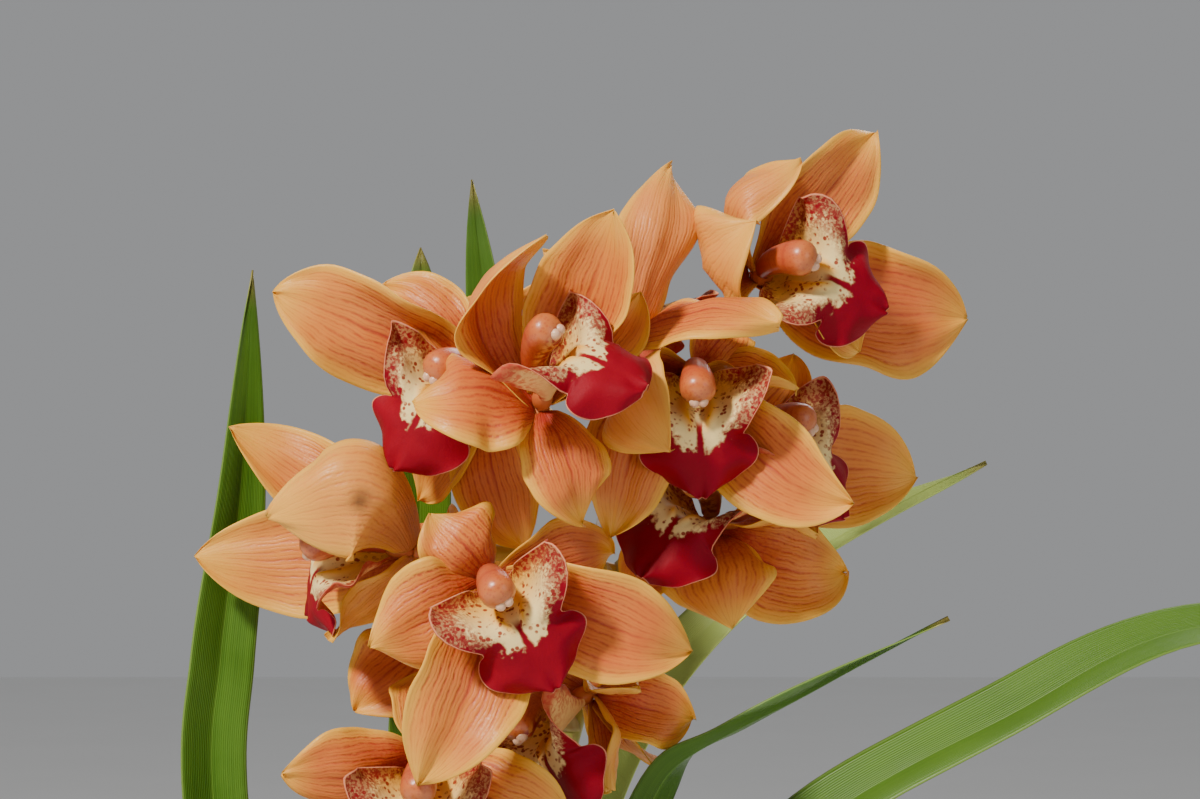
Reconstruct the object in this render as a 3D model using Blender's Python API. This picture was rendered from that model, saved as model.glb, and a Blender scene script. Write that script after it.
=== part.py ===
"""Potted boat orchid (Cymbidium): a flower spike, its stake, strap leaves, bulbs, bark and a pot.

Metres, +Z up. The origin is the centre of the pot's underside, and the flowers face -Y.
Flower and leaf tables are in millimetres, because a grower measures them that way.
"""

import math

import bmesh
import bpy
from mathutils import Vector

MM = 0.001
GAP = 0.0003                    # clearance between pieces that touch

# Pot
POT_HEIGHT = 0.165
POT_RIM_RADIUS = 0.086
POT_FOOT_RADIUS = 0.062
POT_WALL = 0.003
POT_FLOOR = 0.005
RIM_BAND = 0.016                # height of the thicker band at the rim
RIM_STEP = 0.003                # how far that band stands proud of the wall
POT_SEGMENTS = 40
DRAIN_HOLES = 6
DRAIN_RADIUS = 0.0025
DRAIN_CIRCLE = 0.040
DRAIN_OVERRUN = 0.002           # how far a drain cutter passes the floor on each side

# Bark mix
HEADSPACE = 0.024               # rim to bark
BARK_BUMP = 0.0018
BARK_RINGS = 5
BARK_SEGMENTS = 28

# Flowers
TEPAL_THICKNESS = 0.0010
LIP_THICKNESS = 0.0009
HUB_RADIUS = 0.0040
OVARY_RADIUS = 0.0028
PEDICEL_RADIUS = 0.0019
LIP_LENGTH = 0.043
LIP_HALF_WIDTH = 0.0190
COLUMN_LENGTH = 0.026
COLUMN_RADIUS = 0.0046
LIP_START = (0.0015, -0.0030)     # where the lip begins: ahead of the hub, and above its centre
COLUMN_START = (0.0030, 0.0022)   # the same for the column

# Spike and stake
SPIKE_FOOT_RADIUS = 0.0040
SPIKE_TIP_RADIUS = 0.0024
STAKE_RADIUS = 0.0020
STAKE_FOOT = 0.060
STAKE_TOP = 0.470
STAKE_PASSES = (42.9, 30.0, 396.2)   # a point on its line, in millimetres
STAKE_LEAN_RIGHT = 0.273        # sideways run for each metre of height
STAKE_LEAN_BACK = 0.065
CLIP_HEIGHTS = {"upper": 345, "lower": 235}
CLIP_WIDTH = 0.005
CLIP_THICKNESS = 0.0012
CLIP_SLACK = 0.0012             # room between the clip and what it holds

# Leaves and bulbs
LEAF_THICKNESS = 0.0012
BULB_HEIGHT = 0.062
BULB_RADIUS = 0.019
BULB_SUNK = 0.010
SHEATH_HEIGHT = 0.012           # straight foot of each leaf above its bulb

# The tables below give heights above the ground for a pot whose bark stands at this level. The plant
# rises and falls with the bark when the pot changes.
TABLE_BARK_LEVEL = 0.141


def tepal(tip, width, bow=4, cup=50, sweep=0, root=None, face=None):
    """One sepal or petal. The tip is measured from the hub, in millimetres. bow arches its middle
    towards its inner face, cup is the angle that its margins rise by, sweep bends it in its own
    plane, root is the side of the hub that it grows from where that is not its tip's side, and face
    overrides the way that its inner face looks."""
    return dict(tip=tip, width=width, bow=bow, cup=cup, sweep=sweep, root=root, face=face)


# Each flower: hub in millimetres, the way it faces, the way its lip hangs, the height at which its
# stalk leaves the spike, and its five tepals.
FLOWERS = {
    "top": dict(
        hub=(43, -28, 499), facing=(0.12, -0.70, 0.70), lip=(0.85, -0.3, -0.4), leaves_spike=490,
        tepals=[
            tepal((21, -14, 55), 33, bow=-6, cup=50, root=(0, 1, 0.6)),
            tepal((-1, -22, 47), 32, bow=-19, cup=45, root=(-1, 0, 0), face=(0.75, -0.35, -0.3)),
            tepal((-35, -16, 0), 42, bow=7, cup=-30),
            tepal((11, -9, -34), 28, bow=6, cup=-10),
            tepal((30, 6, 32), 20, bow=-4, cup=50, face=(-0.5, -0.7, 0.0)),
        ]),
    "crown": dict(
        hub=(66, -6, 518), facing=(0.30, 0.62, 0.70), lip=(-0.2, 0.9, -0.6), leaves_spike=505,
        tepals=[
            tepal((14, 10, 54), 26, bow=-8, cup=30, root=(0.3, -1, 0), face=(-0.4, 0.9, -0.1)),
            tepal((-24, 6, 25), 20, bow=-4, cup=40, face=(0.7, 0.3, -0.4)),
            tepal((46, -30, 4), 30, bow=8, cup=-35, face=(0.05, -0.60, 0.8)),
            tepal((-10, 44, -10), 22, bow=3, cup=40),
            tepal((-32, 24, 12), 20, bow=3, cup=40),
        ]),
    "upper_right": dict(
        hub=(108, 10, 537), facing=(0.48, -0.86, 0.14), lip=(1.0, 0.0, -0.38), leaves_spike=498,
        tepals=[
            tepal((36, 6, 45), 29, bow=3, cup=30, face=(0.35, -0.9, 0.0)),
            tepal((17, -14, 31), 29, bow=-19, cup=45, root=(-0.6, 0, 0.8), face=(0.6, 0.5, -0.6)),
            tepal((-4, -30, 15), 34, bow=-14, cup=40, root=(-1, 0, 0.3), face=(0.75, 0.6, 0.0)),
            tepal((68, 20, -9), 41, bow=-2, cup=30, sweep=5, face=(0.1, -1.0, 0.1)),
            tepal((30, -5, -22), 26, bow=5, cup=40, face=(0.2, -0.7, 0.6)),
        ]),
    "centre": dict(
        hub=(88, -4, 508), facing=(0.02, -0.96, -0.24), lip=(0.05, 0.1, -1.0), leaves_spike=482,
        tepals=[
            tepal((12, 8, 18), 22, bow=3, cup=30),
            tepal((-5, -38, -25), 32, bow=-21, cup=40, root=(-1, 0, -0.3), face=(0.6, 0.8, 0.14)),
            tepal((-22, -20, -50), 28, bow=3, cup=10, sweep=7, root=(-1, 0, -0.3)),
            tepal((45, -14, -41), 31, bow=7, cup=25, sweep=5),
            tepal((30, -8, -7), 20, bow=4, cup=60, face=(0.1, -0.4, 0.9)),
        ]),
    "right": dict(
        hub=(101, 16, 486), facing=(0.70, -0.64, 0.20), lip=(0.6, 0.1, -0.8), leaves_spike=475,
        tepals=[
            tepal((20, 4, 26), 22, bow=4, cup=30, root=(0, 0.3, 1), face=(0.5, -0.8, 0.2)),
            tepal((60, 22, -7), 40, bow=-6, cup=30, sweep=3, root=(0.6, 0.8, 0), face=(0.1, -1.0, 0.1)),
            tepal((8, 36, 24), 22, bow=4, cup=30),
            tepal((22, 36, -26), 24, bow=4, cup=30),
            tepal((-2, 40, -8), 22, bow=4, cup=30),
        ]),
    "lower_right": dict(
        hub=(94, 17, 461), facing=(-0.22, -0.85, 0.46), lip=(-0.5, -0.3, -0.8), leaves_spike=462,
        tepals=[
            tepal((5, -20, -29), 37, bow=8, cup=-40),
            tepal((42, 2, -13), 33, bow=4, cup=30, sweep=6, face=(0.0, -1.0, 0.1)),
            tepal((32, -12, -1), 18, bow=4, cup=50, face=(0.2, -0.5, 0.9)),
            tepal((-26, 4, -20), 24, bow=4, cup=30),
            tepal((16, 34, -22), 20, bow=4, cup=30),
        ]),
    "upper_left": dict(
        hub=(24, 0, 506), facing=(-0.42, -0.90, 0.05), lip=(-0.5, 0.0, -0.85), leaves_spike=469,
        tepals=[
            tepal((-61, -4, 28), 33, bow=4, cup=20),
            tepal((-28, 9, 30), 24, bow=5, cup=40, face=(-0.2, -0.6, 0.8)),
            tepal((12, 4, -52), 28, bow=6, cup=20),
            tepal((-17, 16, -38), 24, bow=4, cup=30),
            tepal((-7, 30, 24), 20, bow=3, cup=30),
        ]),
    "left": dict(
        hub=(2, -1, 455), facing=(-0.93, -0.24, 0.02), lip=(-0.30, 0.70, -0.70), leaves_spike=447,
        tepals=[
            tepal((-39, -18, 7), 41, bow=-17, cup=50, sweep=-11, root=(0, -1, 0.3), face=(0.1, 0.95, -0.2)),
            tepal((-56, 44, 37), 28, bow=-14, cup=10, root=(0, 1, 0.4), face=(0.0, -1.0, 0.1)),
            tepal((-69, 36, -5), 36, bow=-16, cup=20, root=(0, 1, -0.3), face=(0.0, -1.0, 0.1)),
            tepal((-24, 2, -26), 20, bow=-3, cup=40, root=(0, -0.3, -1), face=(-0.2, 0.3, 0.9)),
            tepal((12, 24, 5), 20, bow=4, cup=30, face=(-0.5, -0.8, 0.2)),
        ]),
    "lower": dict(
        hub=(29, -24, 447), facing=(0.10, -0.96, -0.12), lip=(0.5, 0.1, -0.87), leaves_spike=439,
        tepals=[
            tepal((-19, 0, 19), 29, bow=6, cup=-30, face=(-0.2, -0.8, 0.5)),
            tepal((-36, -8, -19), 33, bow=7, cup=-30),
            tepal((35, 12, 9), 28, bow=5, cup=30),
            tepal((57, -6, -21), 33, bow=7, cup=25),
            tepal((-21, -20, -57), 34, bow=8, cup=30, sweep=-3),
        ]),
    "bottom_left": dict(
        hub=(8, -6, 392), facing=(-0.02, -0.95, -0.25), lip=(0.05, 0.1, -1.0), leaves_spike=402,
        tepals=[
            tepal((2, 20, 26), 25, bow=4, cup=30),
            tepal((-42, -12, -3), 32, bow=8, cup=-30),
            tepal((44, -14, -17), 32, bow=8, cup=-20),
            tepal((-24, -6, -50), 30, bow=7, cup=30),
            tepal((30, -6, -48), 30, bow=7, cup=30),
        ]),
    "lower_back": dict(
        hub=(56, 8, 411), facing=(-0.60, -0.55, -0.30), lip=(0.2, -0.4, -0.9), leaves_spike=413,
        tepals=[
            tepal((15, -16, 0), 20, bow=3, cup=50, face=(0.1, -0.6, 0.8)),
            tepal((4, -20, -27), 22, bow=-6, cup=70, face=(-0.8, -0.3, 0.1)),
            tepal((32, 2, -9), 24, bow=4, cup=30, face=(0.0, -1.0, 0.3)),
            tepal((26, 26, -24), 22, bow=4, cup=30),
            tepal((-20, 8, 17), 24, bow=4, cup=30),
        ]),
    "left_back": dict(
        hub=(12, 26, 430), facing=(-0.35, 0.92, -0.05), lip=(1.0, 0.1, -0.3), leaves_spike=427,
        tepals=[
            tepal((-28, -8, -24), 28, bow=4, cup=-30, face=(-0.2, -1.0, 0.1)),
            tepal((-26, 14, 30), 26, bow=4, cup=30),
            tepal((12, 16, 34), 26, bow=4, cup=30),
            tepal((28, 22, -20), 26, bow=4, cup=30),
            tepal((6, 10, -44), 26, bow=4, cup=30),
        ]),
}

# The spike's own route, in millimetres, from the bark to its tip.
SPIKE_ROUTE = [
    (-13, 12, 132), (-3, 15, 200), (20, 20, 285), (41, 25, 360), (55, 28, 412),
    (63, 29, 442), (75, 29, 457), (84, 28, 480), (88, 27, 506),
]

# Each leaf: the bulb it grows from and its seat on the bulb's top, its route to its tip and its width
# in millimetres, how far its halves fold up, how blunt its point is, and where its upper face looks.
LEAVES = {
    "left_front": dict(
        bulb="left", seat=(-1, -3), width=23, fold=26, point=3.0, face=(0.3, -1.0, 0.1),
        route=[(-50, 44, 290), (-62, 50, 375), (-60, 52, 418), (-54, 54, 469), (-50, 56, 541)]),
    "left_upright": dict(
        bulb="centre", seat=(-4, -3), width=20, fold=20, point=8.0, face=(0.3, -1.0, 0.1),
        route=[(-7, 66, 300), (1, 72, 400), (2, 74, 480), (2, 76, 549)]),
    "centre_upright": dict(
        bulb="centre", seat=(4, 1), width=20, fold=25, point=5.0, face=(-0.3, -1.0, 0.1),
        route=[(18, 70, 300), (29, 84, 400), (28, 88, 480), (18, 92, 572)]),
    "right_behind": dict(
        bulb="right", seat=(-1, 6), width=20, fold=18, point=3.5, face=(0.0, -0.6, 0.8),
        route=[(40, 62, 300), (60, 90, 372), (90, 98, 419), (131, 102, 450), (188, 104, 479)]),
    "right_thin": dict(
        bulb="right", seat=(-2, -5), width=14, fold=18, point=2.5, face=(0.3, 0.35, 0.9),
        route=[(50, 6, 300), (76, 4, 379), (103, 3, 402), (165, 2, 434)]),
    "right_broad": dict(
        bulb="right", seat=(3, -2), width=30, fold=14, point=2.4, face=(-0.35, -0.50, 0.80),
        route=[(70, 18, 305), (120, 10, 366), (182, 4, 404), (244, 0, 432), (330, -4, 424)]),
    "left_low": dict(
        bulb="left", seat=(-3, 3), width=26, fold=16, point=2.0, face=(0.2, -0.4, 0.9),
        route=[(-82, 24, 290), (-124, 26, 336), (-168, 26, 346), (-220, 24, 312)]),
    "back_low": dict(
        bulb="centre", seat=(-1, 9), width=26, fold=16, point=2.0, face=(0.0, 0.2, 1.0),
        route=[(2, 108, 290), (10, 146, 340), (20, 192, 348), (26, 238, 306)]),
    "front_low": dict(
        bulb="front", seat=(0, 0), width=24, fold=16, point=2.0, face=(0.0, 0.2, 1.0),
        route=[(-28, -44, 270), (-34, -84, 312), (-38, -130, 314), (-42, -176, 278)]),
}

# Each bulb: where it stands, in millimetres, and its size against a full-grown one.
BULBS = {
    "left": (-44, 30, 0.95),
    "centre": (0, 54, 1.05),
    "right": (36, 22, 1.0),
    "front": (-12, -22, 0.8),
}

# Half the lip's width against its widest mid lobe, at shares of its length: the side lobes that stand
# up by the column, the notch, and the mid lobe's shoulders and rounded end.
LIP_OUTLINE = [
    (0.0, 0.26), (0.12, 0.70), (0.24, 1.12), (0.35, 1.30), (0.43, 1.16), (0.49, 0.80), (0.54, 0.66),
    (0.60, 0.90), (0.68, 1.00), (0.77, 0.93), (0.86, 0.75), (0.94, 0.54), (1.0, 0.15),
]

CREAM_GREEN = (0.42, 0.50, 0.16)


def clear_scene():
    for old in list(bpy.data.objects):
        bpy.data.objects.remove(old)


def millimetres(values):
    return Vector(values) * MM


def bark_top():
    return POT_HEIGHT - HEADSPACE


def planted(values):
    """A point from the tables, moved up or down with the bark."""
    return millimetres(values) + Vector((0.0, 0.0, bark_top() - TABLE_BARK_LEVEL))


def ease(x):
    x = min(max(x, 0.0), 1.0)
    return x * x * (3.0 - 2.0 * x)


def make_material(name, colour, roughness):
    material = bpy.data.materials.new(name)
    material.use_nodes = True
    shader = material.node_tree.nodes["Principled BSDF"]
    shader.inputs["Base Color"].default_value = (*colour, 1.0)
    shader.inputs["Roughness"].default_value = roughness
    material.diffuse_color = (*colour, 1.0)
    return material


def add_object(name, mesh, material):
    item = bpy.data.objects.new(name, mesh)
    mesh.materials.clear()
    mesh.materials.append(material)
    bpy.context.scene.collection.objects.link(item)
    return item


def mesh_from(name, points, faces):
    """A closed mesh with its faces turned outwards."""
    mesh = bpy.data.meshes.new(name)
    mesh.from_pydata([tuple(point) for point in points], [], faces)
    work = bmesh.new()
    work.from_mesh(mesh)
    bmesh.ops.recalc_face_normals(work, faces=work.faces)
    work.to_mesh(mesh)
    work.free()
    return mesh


def shell(name, stations, columns, surface, thickness):
    """A thin closed solid about a surface: two faces a thickness apart and a rim between them."""
    points = []
    for side in (0.5, -0.5):
        for s in stations:
            for t in columns:
                point, normal = surface(s, t)
                points.append(point + normal * thickness * side)
    rows = len(stations)
    cols = len(columns)
    lower = rows * cols
    faces = []
    for i in range(rows - 1):
        for j in range(cols - 1):
            a = i * cols + j
            faces.append((a, a + 1, a + cols + 1, a + cols))
            faces.append((lower + a, lower + a + cols, lower + a + cols + 1, lower + a + 1))
    for i in range(rows - 1):
        for j in (0, cols - 1):
            a = i * cols + j
            faces.append((a, a + cols, lower + a + cols, lower + a))
    for j in range(cols - 1):
        for i in (0, rows - 1):
            a = i * cols + j
            faces.append((a, a + 1, lower + a + 1, lower + a))
    return mesh_from(name, points, faces)


def tube(name, points, radii, sides):
    """A closed round bar through the points."""
    vertices = []
    faces = []
    side_way = Vector((1.0, 0.0, 0.0))
    for k, centre in enumerate(points):
        ahead = points[min(k + 1, len(points) - 1)] - points[max(k - 1, 0)]
        ahead.normalize()
        side_way = (side_way - ahead * side_way.dot(ahead)).normalized()
        up = ahead.cross(side_way)
        for n in range(sides):
            turn = 2.0 * math.pi * n / sides
            vertices.append(centre + (side_way * math.cos(turn) + up * math.sin(turn)) * radii[k])
    for k in range(len(points) - 1):
        for n in range(sides):
            a = k * sides + n
            b = k * sides + (n + 1) % sides
            faces.append((a, b, b + sides, a + sides))
    faces.append(tuple(range(sides)))
    faces.append(tuple(range((len(points) - 1) * sides, len(points) * sides)))
    return mesh_from(name, vertices, faces)


def smooth_route(points, pieces):
    """Points along a smooth curve through the route's own points."""
    padded = [points[0] * 2.0 - points[1]] + points + [points[-1] * 2.0 - points[-2]]
    route = []
    for k in range(1, len(padded) - 2):
        before, start, end, after = padded[k - 1:k + 3]
        for step in range(pieces):
            u = step / pieces
            route.append(0.5 * (
                start * 2.0 + (end - before) * u
                + (before * 2.0 - start * 5.0 + end * 4.0 - after) * u * u
                + (start * 3.0 - before - end * 3.0 + after) * u ** 3))
    route.append(points[-1].copy())
    return route


def tepal_outline(s):
    """Share of the full width at a share s of the length: narrow foot, round shoulders, small point."""
    foot = 0.30
    widest = 0.56
    if s < widest:
        return 1.0 - (1.0 - foot) * (1.0 - s / widest) ** 2
    past = (s - widest) / (1.0 - widest)
    return max((1.0 - past ** 2.3) ** 0.75, 0.05)


def tepal_surface(hub, facing, spec):
    """The mid-surface of one tepal as a function of s along it and t across it."""
    tip = millimetres(spec["tip"])
    side_of_hub = Vector(spec["root"] or spec["tip"])
    side_of_hub = (side_of_hub - facing * side_of_hub.dot(facing)).normalized()
    foot = hub + side_of_hub * HUB_RADIUS * 0.65 - facing * HUB_RADIUS * 0.35
    chord = hub + tip - foot
    face = Vector(spec["face"]) if spec["face"] else facing
    face = (face - chord.normalized() * face.dot(chord.normalized())).normalized()
    bow = spec["bow"] * MM
    sweep = spec["sweep"] * MM
    across = chord.normalized().cross(face)
    half = spec["width"] * MM / 2.0

    def surface(s, t):
        centre = foot + chord * s + (face * bow + across * sweep) * 4.0 * s * (1.0 - s)
        ahead = (chord + (face * bow + across * sweep) * 4.0 * (1.0 - 2.0 * s)).normalized()
        up = (face - ahead * face.dot(ahead)).normalized()
        side = ahead.cross(up)
        reach = half * tepal_outline(s)
        bend = math.radians(spec["cup"]) * t
        if abs(bend) < 1e-6:
            return centre + side * reach * t, up
        radius = reach * t / bend
        point = centre + side * radius * math.sin(bend) + up * radius * (1.0 - math.cos(bend))
        return point, up * math.cos(bend) - side * math.sin(bend)

    return surface


def flower_axes(spec):
    """Facing, dorsal and sideways directions of a flower."""
    facing = Vector(spec["facing"]).normalized()
    hang = Vector(spec["lip"])
    dorsal = -(hang - facing * hang.dot(facing)).normalized()
    return facing, dorsal, dorsal.cross(facing)


def lip_surface(hub, axes):
    """The lip: a trough with raised side lobes about the column, then a broad mid lobe that recurves."""
    facing, dorsal, side = axes
    start = hub + facing * (HUB_RADIUS + LIP_START[0]) + dorsal * LIP_START[1]
    steps = 60

    def slope(s):
        return math.radians(-14.0 - 16.0 * s - 66.0 * ease((s - 0.38) / 0.24))

    def reach_at(s):
        for (low, narrow), (high, wide) in zip(LIP_OUTLINE, LIP_OUTLINE[1:]):
            if s <= high:
                return LIP_HALF_WIDTH * (narrow + (wide - narrow) * ease((s - low) / (high - low)))
        return LIP_HALF_WIDTH * LIP_OUTLINE[-1][1]

    def surface(s, t):
        centre = start.copy()
        count = max(int(steps * s), 1)
        for k in range(count):
            here = slope((k + 0.5) / count * s)
            centre += (facing * math.cos(here) + dorsal * math.sin(here)) * LIP_LENGTH * s / count
        angle = slope(s)
        up = dorsal * math.cos(angle) - facing * math.sin(angle)
        cup = math.radians(86.0 - 110.0 * ease((s - 0.40) / 0.22))
        bend = cup * t
        reach = reach_at(s)
        if abs(bend) < 1e-6:
            return centre + side * reach * t, up
        radius = reach * t / bend
        point = centre + side * radius * math.sin(bend) + up * radius * (1.0 - math.cos(bend))
        return point, up * math.cos(bend) - side * math.sin(bend)

    return surface


def column_route(hub, axes, stations):
    """Points and radii of the column, which arches forward over the lip and ends in a hood."""
    facing, dorsal, side = axes
    centre = hub + facing * (HUB_RADIUS + COLUMN_START[0]) + dorsal * COLUMN_START[1]
    points = [centre.copy()]
    radii = [COLUMN_RADIUS * 0.55]
    for k in range(1, len(stations)):
        length = (stations[k] - stations[k - 1]) * COLUMN_LENGTH
        angle = math.radians(27.0 - 62.0 * stations[k])
        centre = centre + (facing * math.cos(angle) + dorsal * math.sin(angle)) * length
        points.append(centre.copy())
        bulge = 0.62 + 0.38 * math.sin(math.pi * min(stations[k] * 0.62, 1.0))
        closing = math.sqrt(max(1.0 - max((stations[k] - 0.84) / 0.17, 0.0) ** 2, 0.0))
        radii.append(COLUMN_RADIUS * bulge * closing)
    return points, radii


def union(name, meshes, material):
    """One closed body from several that run into each other."""
    body = add_object(name, meshes[0], material)
    tools = []
    for k, mesh in enumerate(meshes[1:]):
        tool = add_object(f"{name}_tool_{k}", mesh, material)
        tools.append(tool)
        modifier = body.modifiers.new(f"join_{k}", "BOOLEAN")
        modifier.operation = "UNION"
        modifier.object = tool
    evaluated = body.evaluated_get(bpy.context.evaluated_depsgraph_get())
    joined = bpy.data.meshes.new_from_object(evaluated)
    body.modifiers.clear()
    body.data = joined
    for tool in tools:
        bpy.data.objects.remove(tool)
    return body


def spike_points():
    return smooth_route([planted(point) for point in SPIKE_ROUTE], 3)


def spike_radius(share):
    return SPIKE_FOOT_RADIUS + (SPIKE_TIP_RADIUS - SPIKE_FOOT_RADIUS) * share


def spike_at(height):
    """The spike's centre and radius at a height."""
    points = spike_points()
    for k in range(len(points) - 1):
        low, high = points[k], points[k + 1]
        if low.z <= height <= high.z:
            u = (height - low.z) / (high.z - low.z)
            return low.lerp(high, u), spike_radius((k + u) / (len(points) - 1))
    return points[-1].copy(), SPIKE_TIP_RADIUS


def pedicel(name, hub, facing, height):
    """The flower's stalk: a thick ovary behind the hub that thins towards the spike."""
    on_spike, radius = spike_at(height)
    back = hub - facing * HUB_RADIUS * 0.5
    outward = back - on_spike
    outward.z = 0.0
    outward = (outward.normalized() + Vector((0.0, 0.0, 0.3))).normalized()
    foot = on_spike + outward * (radius + GAP + PEDICEL_RADIUS)
    reach = (foot - back).length
    first = back - facing * reach * 0.38
    second = foot + outward * reach * 0.22
    points = []
    radii = []
    for k in range(7):
        u = k / 6.0
        points.append(
            back * (1 - u) ** 3 + first * 3 * u * (1 - u) ** 2 + second * 3 * u * u * (1 - u) + foot * u ** 3)
        swell = math.sin(math.pi * min(u + 0.25, 1.0))
        radii.append(PEDICEL_RADIUS + (OVARY_RADIUS - PEDICEL_RADIUS) * swell)
    return tube(name, points, radii, 6)


def hub_ball(name, hub):
    ball = bpy.data.meshes.new(name)
    work = bmesh.new()
    bmesh.ops.create_icosphere(work, subdivisions=1, radius=HUB_RADIUS)
    bmesh.ops.translate(work, verts=work.verts, vec=hub)
    work.to_mesh(ball)
    work.free()
    return ball


def build_flower(place, spec, materials):
    hub = planted(spec["hub"])
    leaves_spike = planted((0, 0, spec["leaves_spike"])).z
    axes = flower_axes(spec)
    tepal_stations = [0.0, 0.25, 0.52, 0.77, 0.93, 1.0]
    tepal_columns = [-1.0, -0.4, 0.4, 1.0]
    pieces = [hub_ball(f"{place}_hub", hub), pedicel(f"{place}_pedicel", hub, axes[0], leaves_spike)]
    for k, tepal_spec in enumerate(spec["tepals"]):
        surface = tepal_surface(hub, axes[0], tepal_spec)
        pieces.append(shell(f"{place}_tepal_{k}", tepal_stations, tepal_columns, surface, TEPAL_THICKNESS))
    union(f"{place}_flower_tepals", pieces, materials["tepal"])

    lip_stations = [0.0, 0.16, 0.34, 0.46, 0.54, 0.66, 0.82, 0.94, 1.0]
    lip_columns = [-1.0, -0.5, 0.0, 0.5, 1.0]
    lip = shell(f"{place}_lip", lip_stations, lip_columns, lip_surface(hub, axes), LIP_THICKNESS)
    add_object(f"{place}_flower_lip", lip, materials["lip"])

    points, radii = column_route(hub, axes, [0.0, 0.35, 0.7, 0.92, 1.0])
    add_object(f"{place}_flower_column", tube(f"{place}_column", points, radii, 6), materials["column"])


def leaf_outline(s, point):
    """Share of the full width: it narrows at the foot, runs even, and tapers to a point."""
    grow = 0.42 + 0.58 * ease(s / 0.35)
    past = max((s - 0.50) / 0.50, 0.0)
    return grow * max((1.0 - past ** point), 0.05)


def build_leaf(name, spec, material):
    bulb_x, bulb_y, scale = BULBS[spec["bulb"]]
    seat_x, seat_y = spec["seat"]
    foot = Vector(((bulb_x + seat_x) * MM, (bulb_y + seat_y) * MM, bulb_top() + 2 * GAP))
    sheath = foot + Vector((0.0, 0.0, SHEATH_HEIGHT))
    route = [foot] + smooth_route([sheath] + [planted(point) for point in spec["route"]], 3)
    count = len(route) - 1
    face = Vector(spec["face"]).normalized()
    half = spec["width"] * MM / 2.0
    fold = math.radians(spec["fold"])

    def surface(s, t):
        k = round(s * count)
        ahead = (route[min(k + 1, count)] - route[max(k - 1, 0)]).normalized()
        up = (face - ahead * face.dot(ahead)).normalized()
        side = ahead.cross(up)
        reach = half * leaf_outline(s, spec["point"])
        point = route[k] + side * reach * t * math.cos(fold) + up * reach * abs(t) * math.sin(fold)
        if t == 0.0:
            return point, up
        lean = math.copysign(fold, t)
        return point, up * math.cos(lean) - side * math.sin(lean)

    stations = [k / count for k in range(count + 1)]
    mesh = shell(name, stations, [-1.0, 0.0, 1.0], surface, LEAF_THICKNESS)
    add_object(name, mesh, material)


def bulb_profile(scale, grow):
    """Radius and height pairs of a pseudobulb from its foot to its cut-off top."""
    pairs = []
    for share, width in ((0.0, 0.70), (0.16, 0.94), (0.36, 1.0), (0.60, 0.88), (0.82, 0.66), (1.0, 0.50)):
        pairs.append((BULB_RADIUS * scale * width + grow, BULB_HEIGHT * share))
    return pairs


def bulb_top():
    return bark_top() - BULB_SUNK + BULB_HEIGHT


def turned(name, profile, centre, segments):
    """A closed turned solid from radius and height pairs, flat at both ends."""
    points = []
    faces = []
    for radius, height in profile:
        for n in range(segments):
            turn = 2.0 * math.pi * n / segments
            points.append(centre + Vector((radius * math.cos(turn), radius * math.sin(turn), height)))
    for k in range(len(profile) - 1):
        for n in range(segments):
            a = k * segments + n
            b = k * segments + (n + 1) % segments
            faces.append((a, b, b + segments, a + segments))
    faces.append(tuple(range(segments)))
    faces.append(tuple(range((len(profile) - 1) * segments, len(profile) * segments)))
    return mesh_from(name, points, faces)


def bulb_mesh(name, spec, grow):
    x, y, scale = spec
    foot = Vector((x * MM, y * MM, bark_top() - BULB_SUNK - grow))
    profile = bulb_profile(scale, grow)
    return turned(name, profile, foot, 12)


def stake_axis(height):
    """The stake's centre at a height: it leans to the right and a little back."""
    passes = planted(STAKE_PASSES)
    rise = height - passes.z
    return passes + Vector((rise * STAKE_LEAN_RIGHT, rise * STAKE_LEAN_BACK, rise))


def cut(body, mesh, name, material):
    tool = add_object(name, mesh, material)
    modifier = body.modifiers.new(name, "BOOLEAN")
    modifier.operation = "DIFFERENCE"
    modifier.object = tool
    tool.hide_render = True
    tool.display_type = "WIRE"
    return tool


def build_pot(material):
    profile = [
        (POT_FOOT_RADIUS, 0.0),
        (POT_RIM_RADIUS - RIM_STEP, POT_HEIGHT - RIM_BAND),
        (POT_RIM_RADIUS, POT_HEIGHT - RIM_BAND),
        (POT_RIM_RADIUS, POT_HEIGHT),
        (inner_radius(POT_HEIGHT), POT_HEIGHT),
        (inner_radius(POT_FLOOR), POT_FLOOR),
    ]
    points = []
    faces = []
    for radius, height in profile:
        for n in range(POT_SEGMENTS):
            turn = 2.0 * math.pi * n / POT_SEGMENTS
            points.append(Vector((radius * math.cos(turn), radius * math.sin(turn), height)))
    for k in range(len(profile) - 1):
        for n in range(POT_SEGMENTS):
            a = k * POT_SEGMENTS + n
            b = k * POT_SEGMENTS + (n + 1) % POT_SEGMENTS
            faces.append((a, b, b + POT_SEGMENTS, a + POT_SEGMENTS))
    faces.append(tuple(range(POT_SEGMENTS)))
    last = (len(profile) - 1) * POT_SEGMENTS
    faces.append(tuple(range(last, last + POT_SEGMENTS)))
    pot = add_object("pot", mesh_from("pot", points, faces), material)
    for k in range(DRAIN_HOLES):
        turn = 2.0 * math.pi * (k + 0.5) / DRAIN_HOLES
        centre = Vector((DRAIN_CIRCLE * math.cos(turn), DRAIN_CIRCLE * math.sin(turn), 0.0))
        ends = [(DRAIN_RADIUS, -DRAIN_OVERRUN), (DRAIN_RADIUS, POT_FLOOR + DRAIN_OVERRUN)]
        hole = turned(f"drain_{k}", ends, centre, 10)
        cut(pot, hole, f"drain_cutter_{k}", material)


def inner_radius(height):
    """The pot's inside radius at a height."""
    slope = (POT_RIM_RADIUS - RIM_STEP - POT_FOOT_RADIUS) / (POT_HEIGHT - RIM_BAND)
    return POT_FOOT_RADIUS + slope * height - POT_WALL


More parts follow.
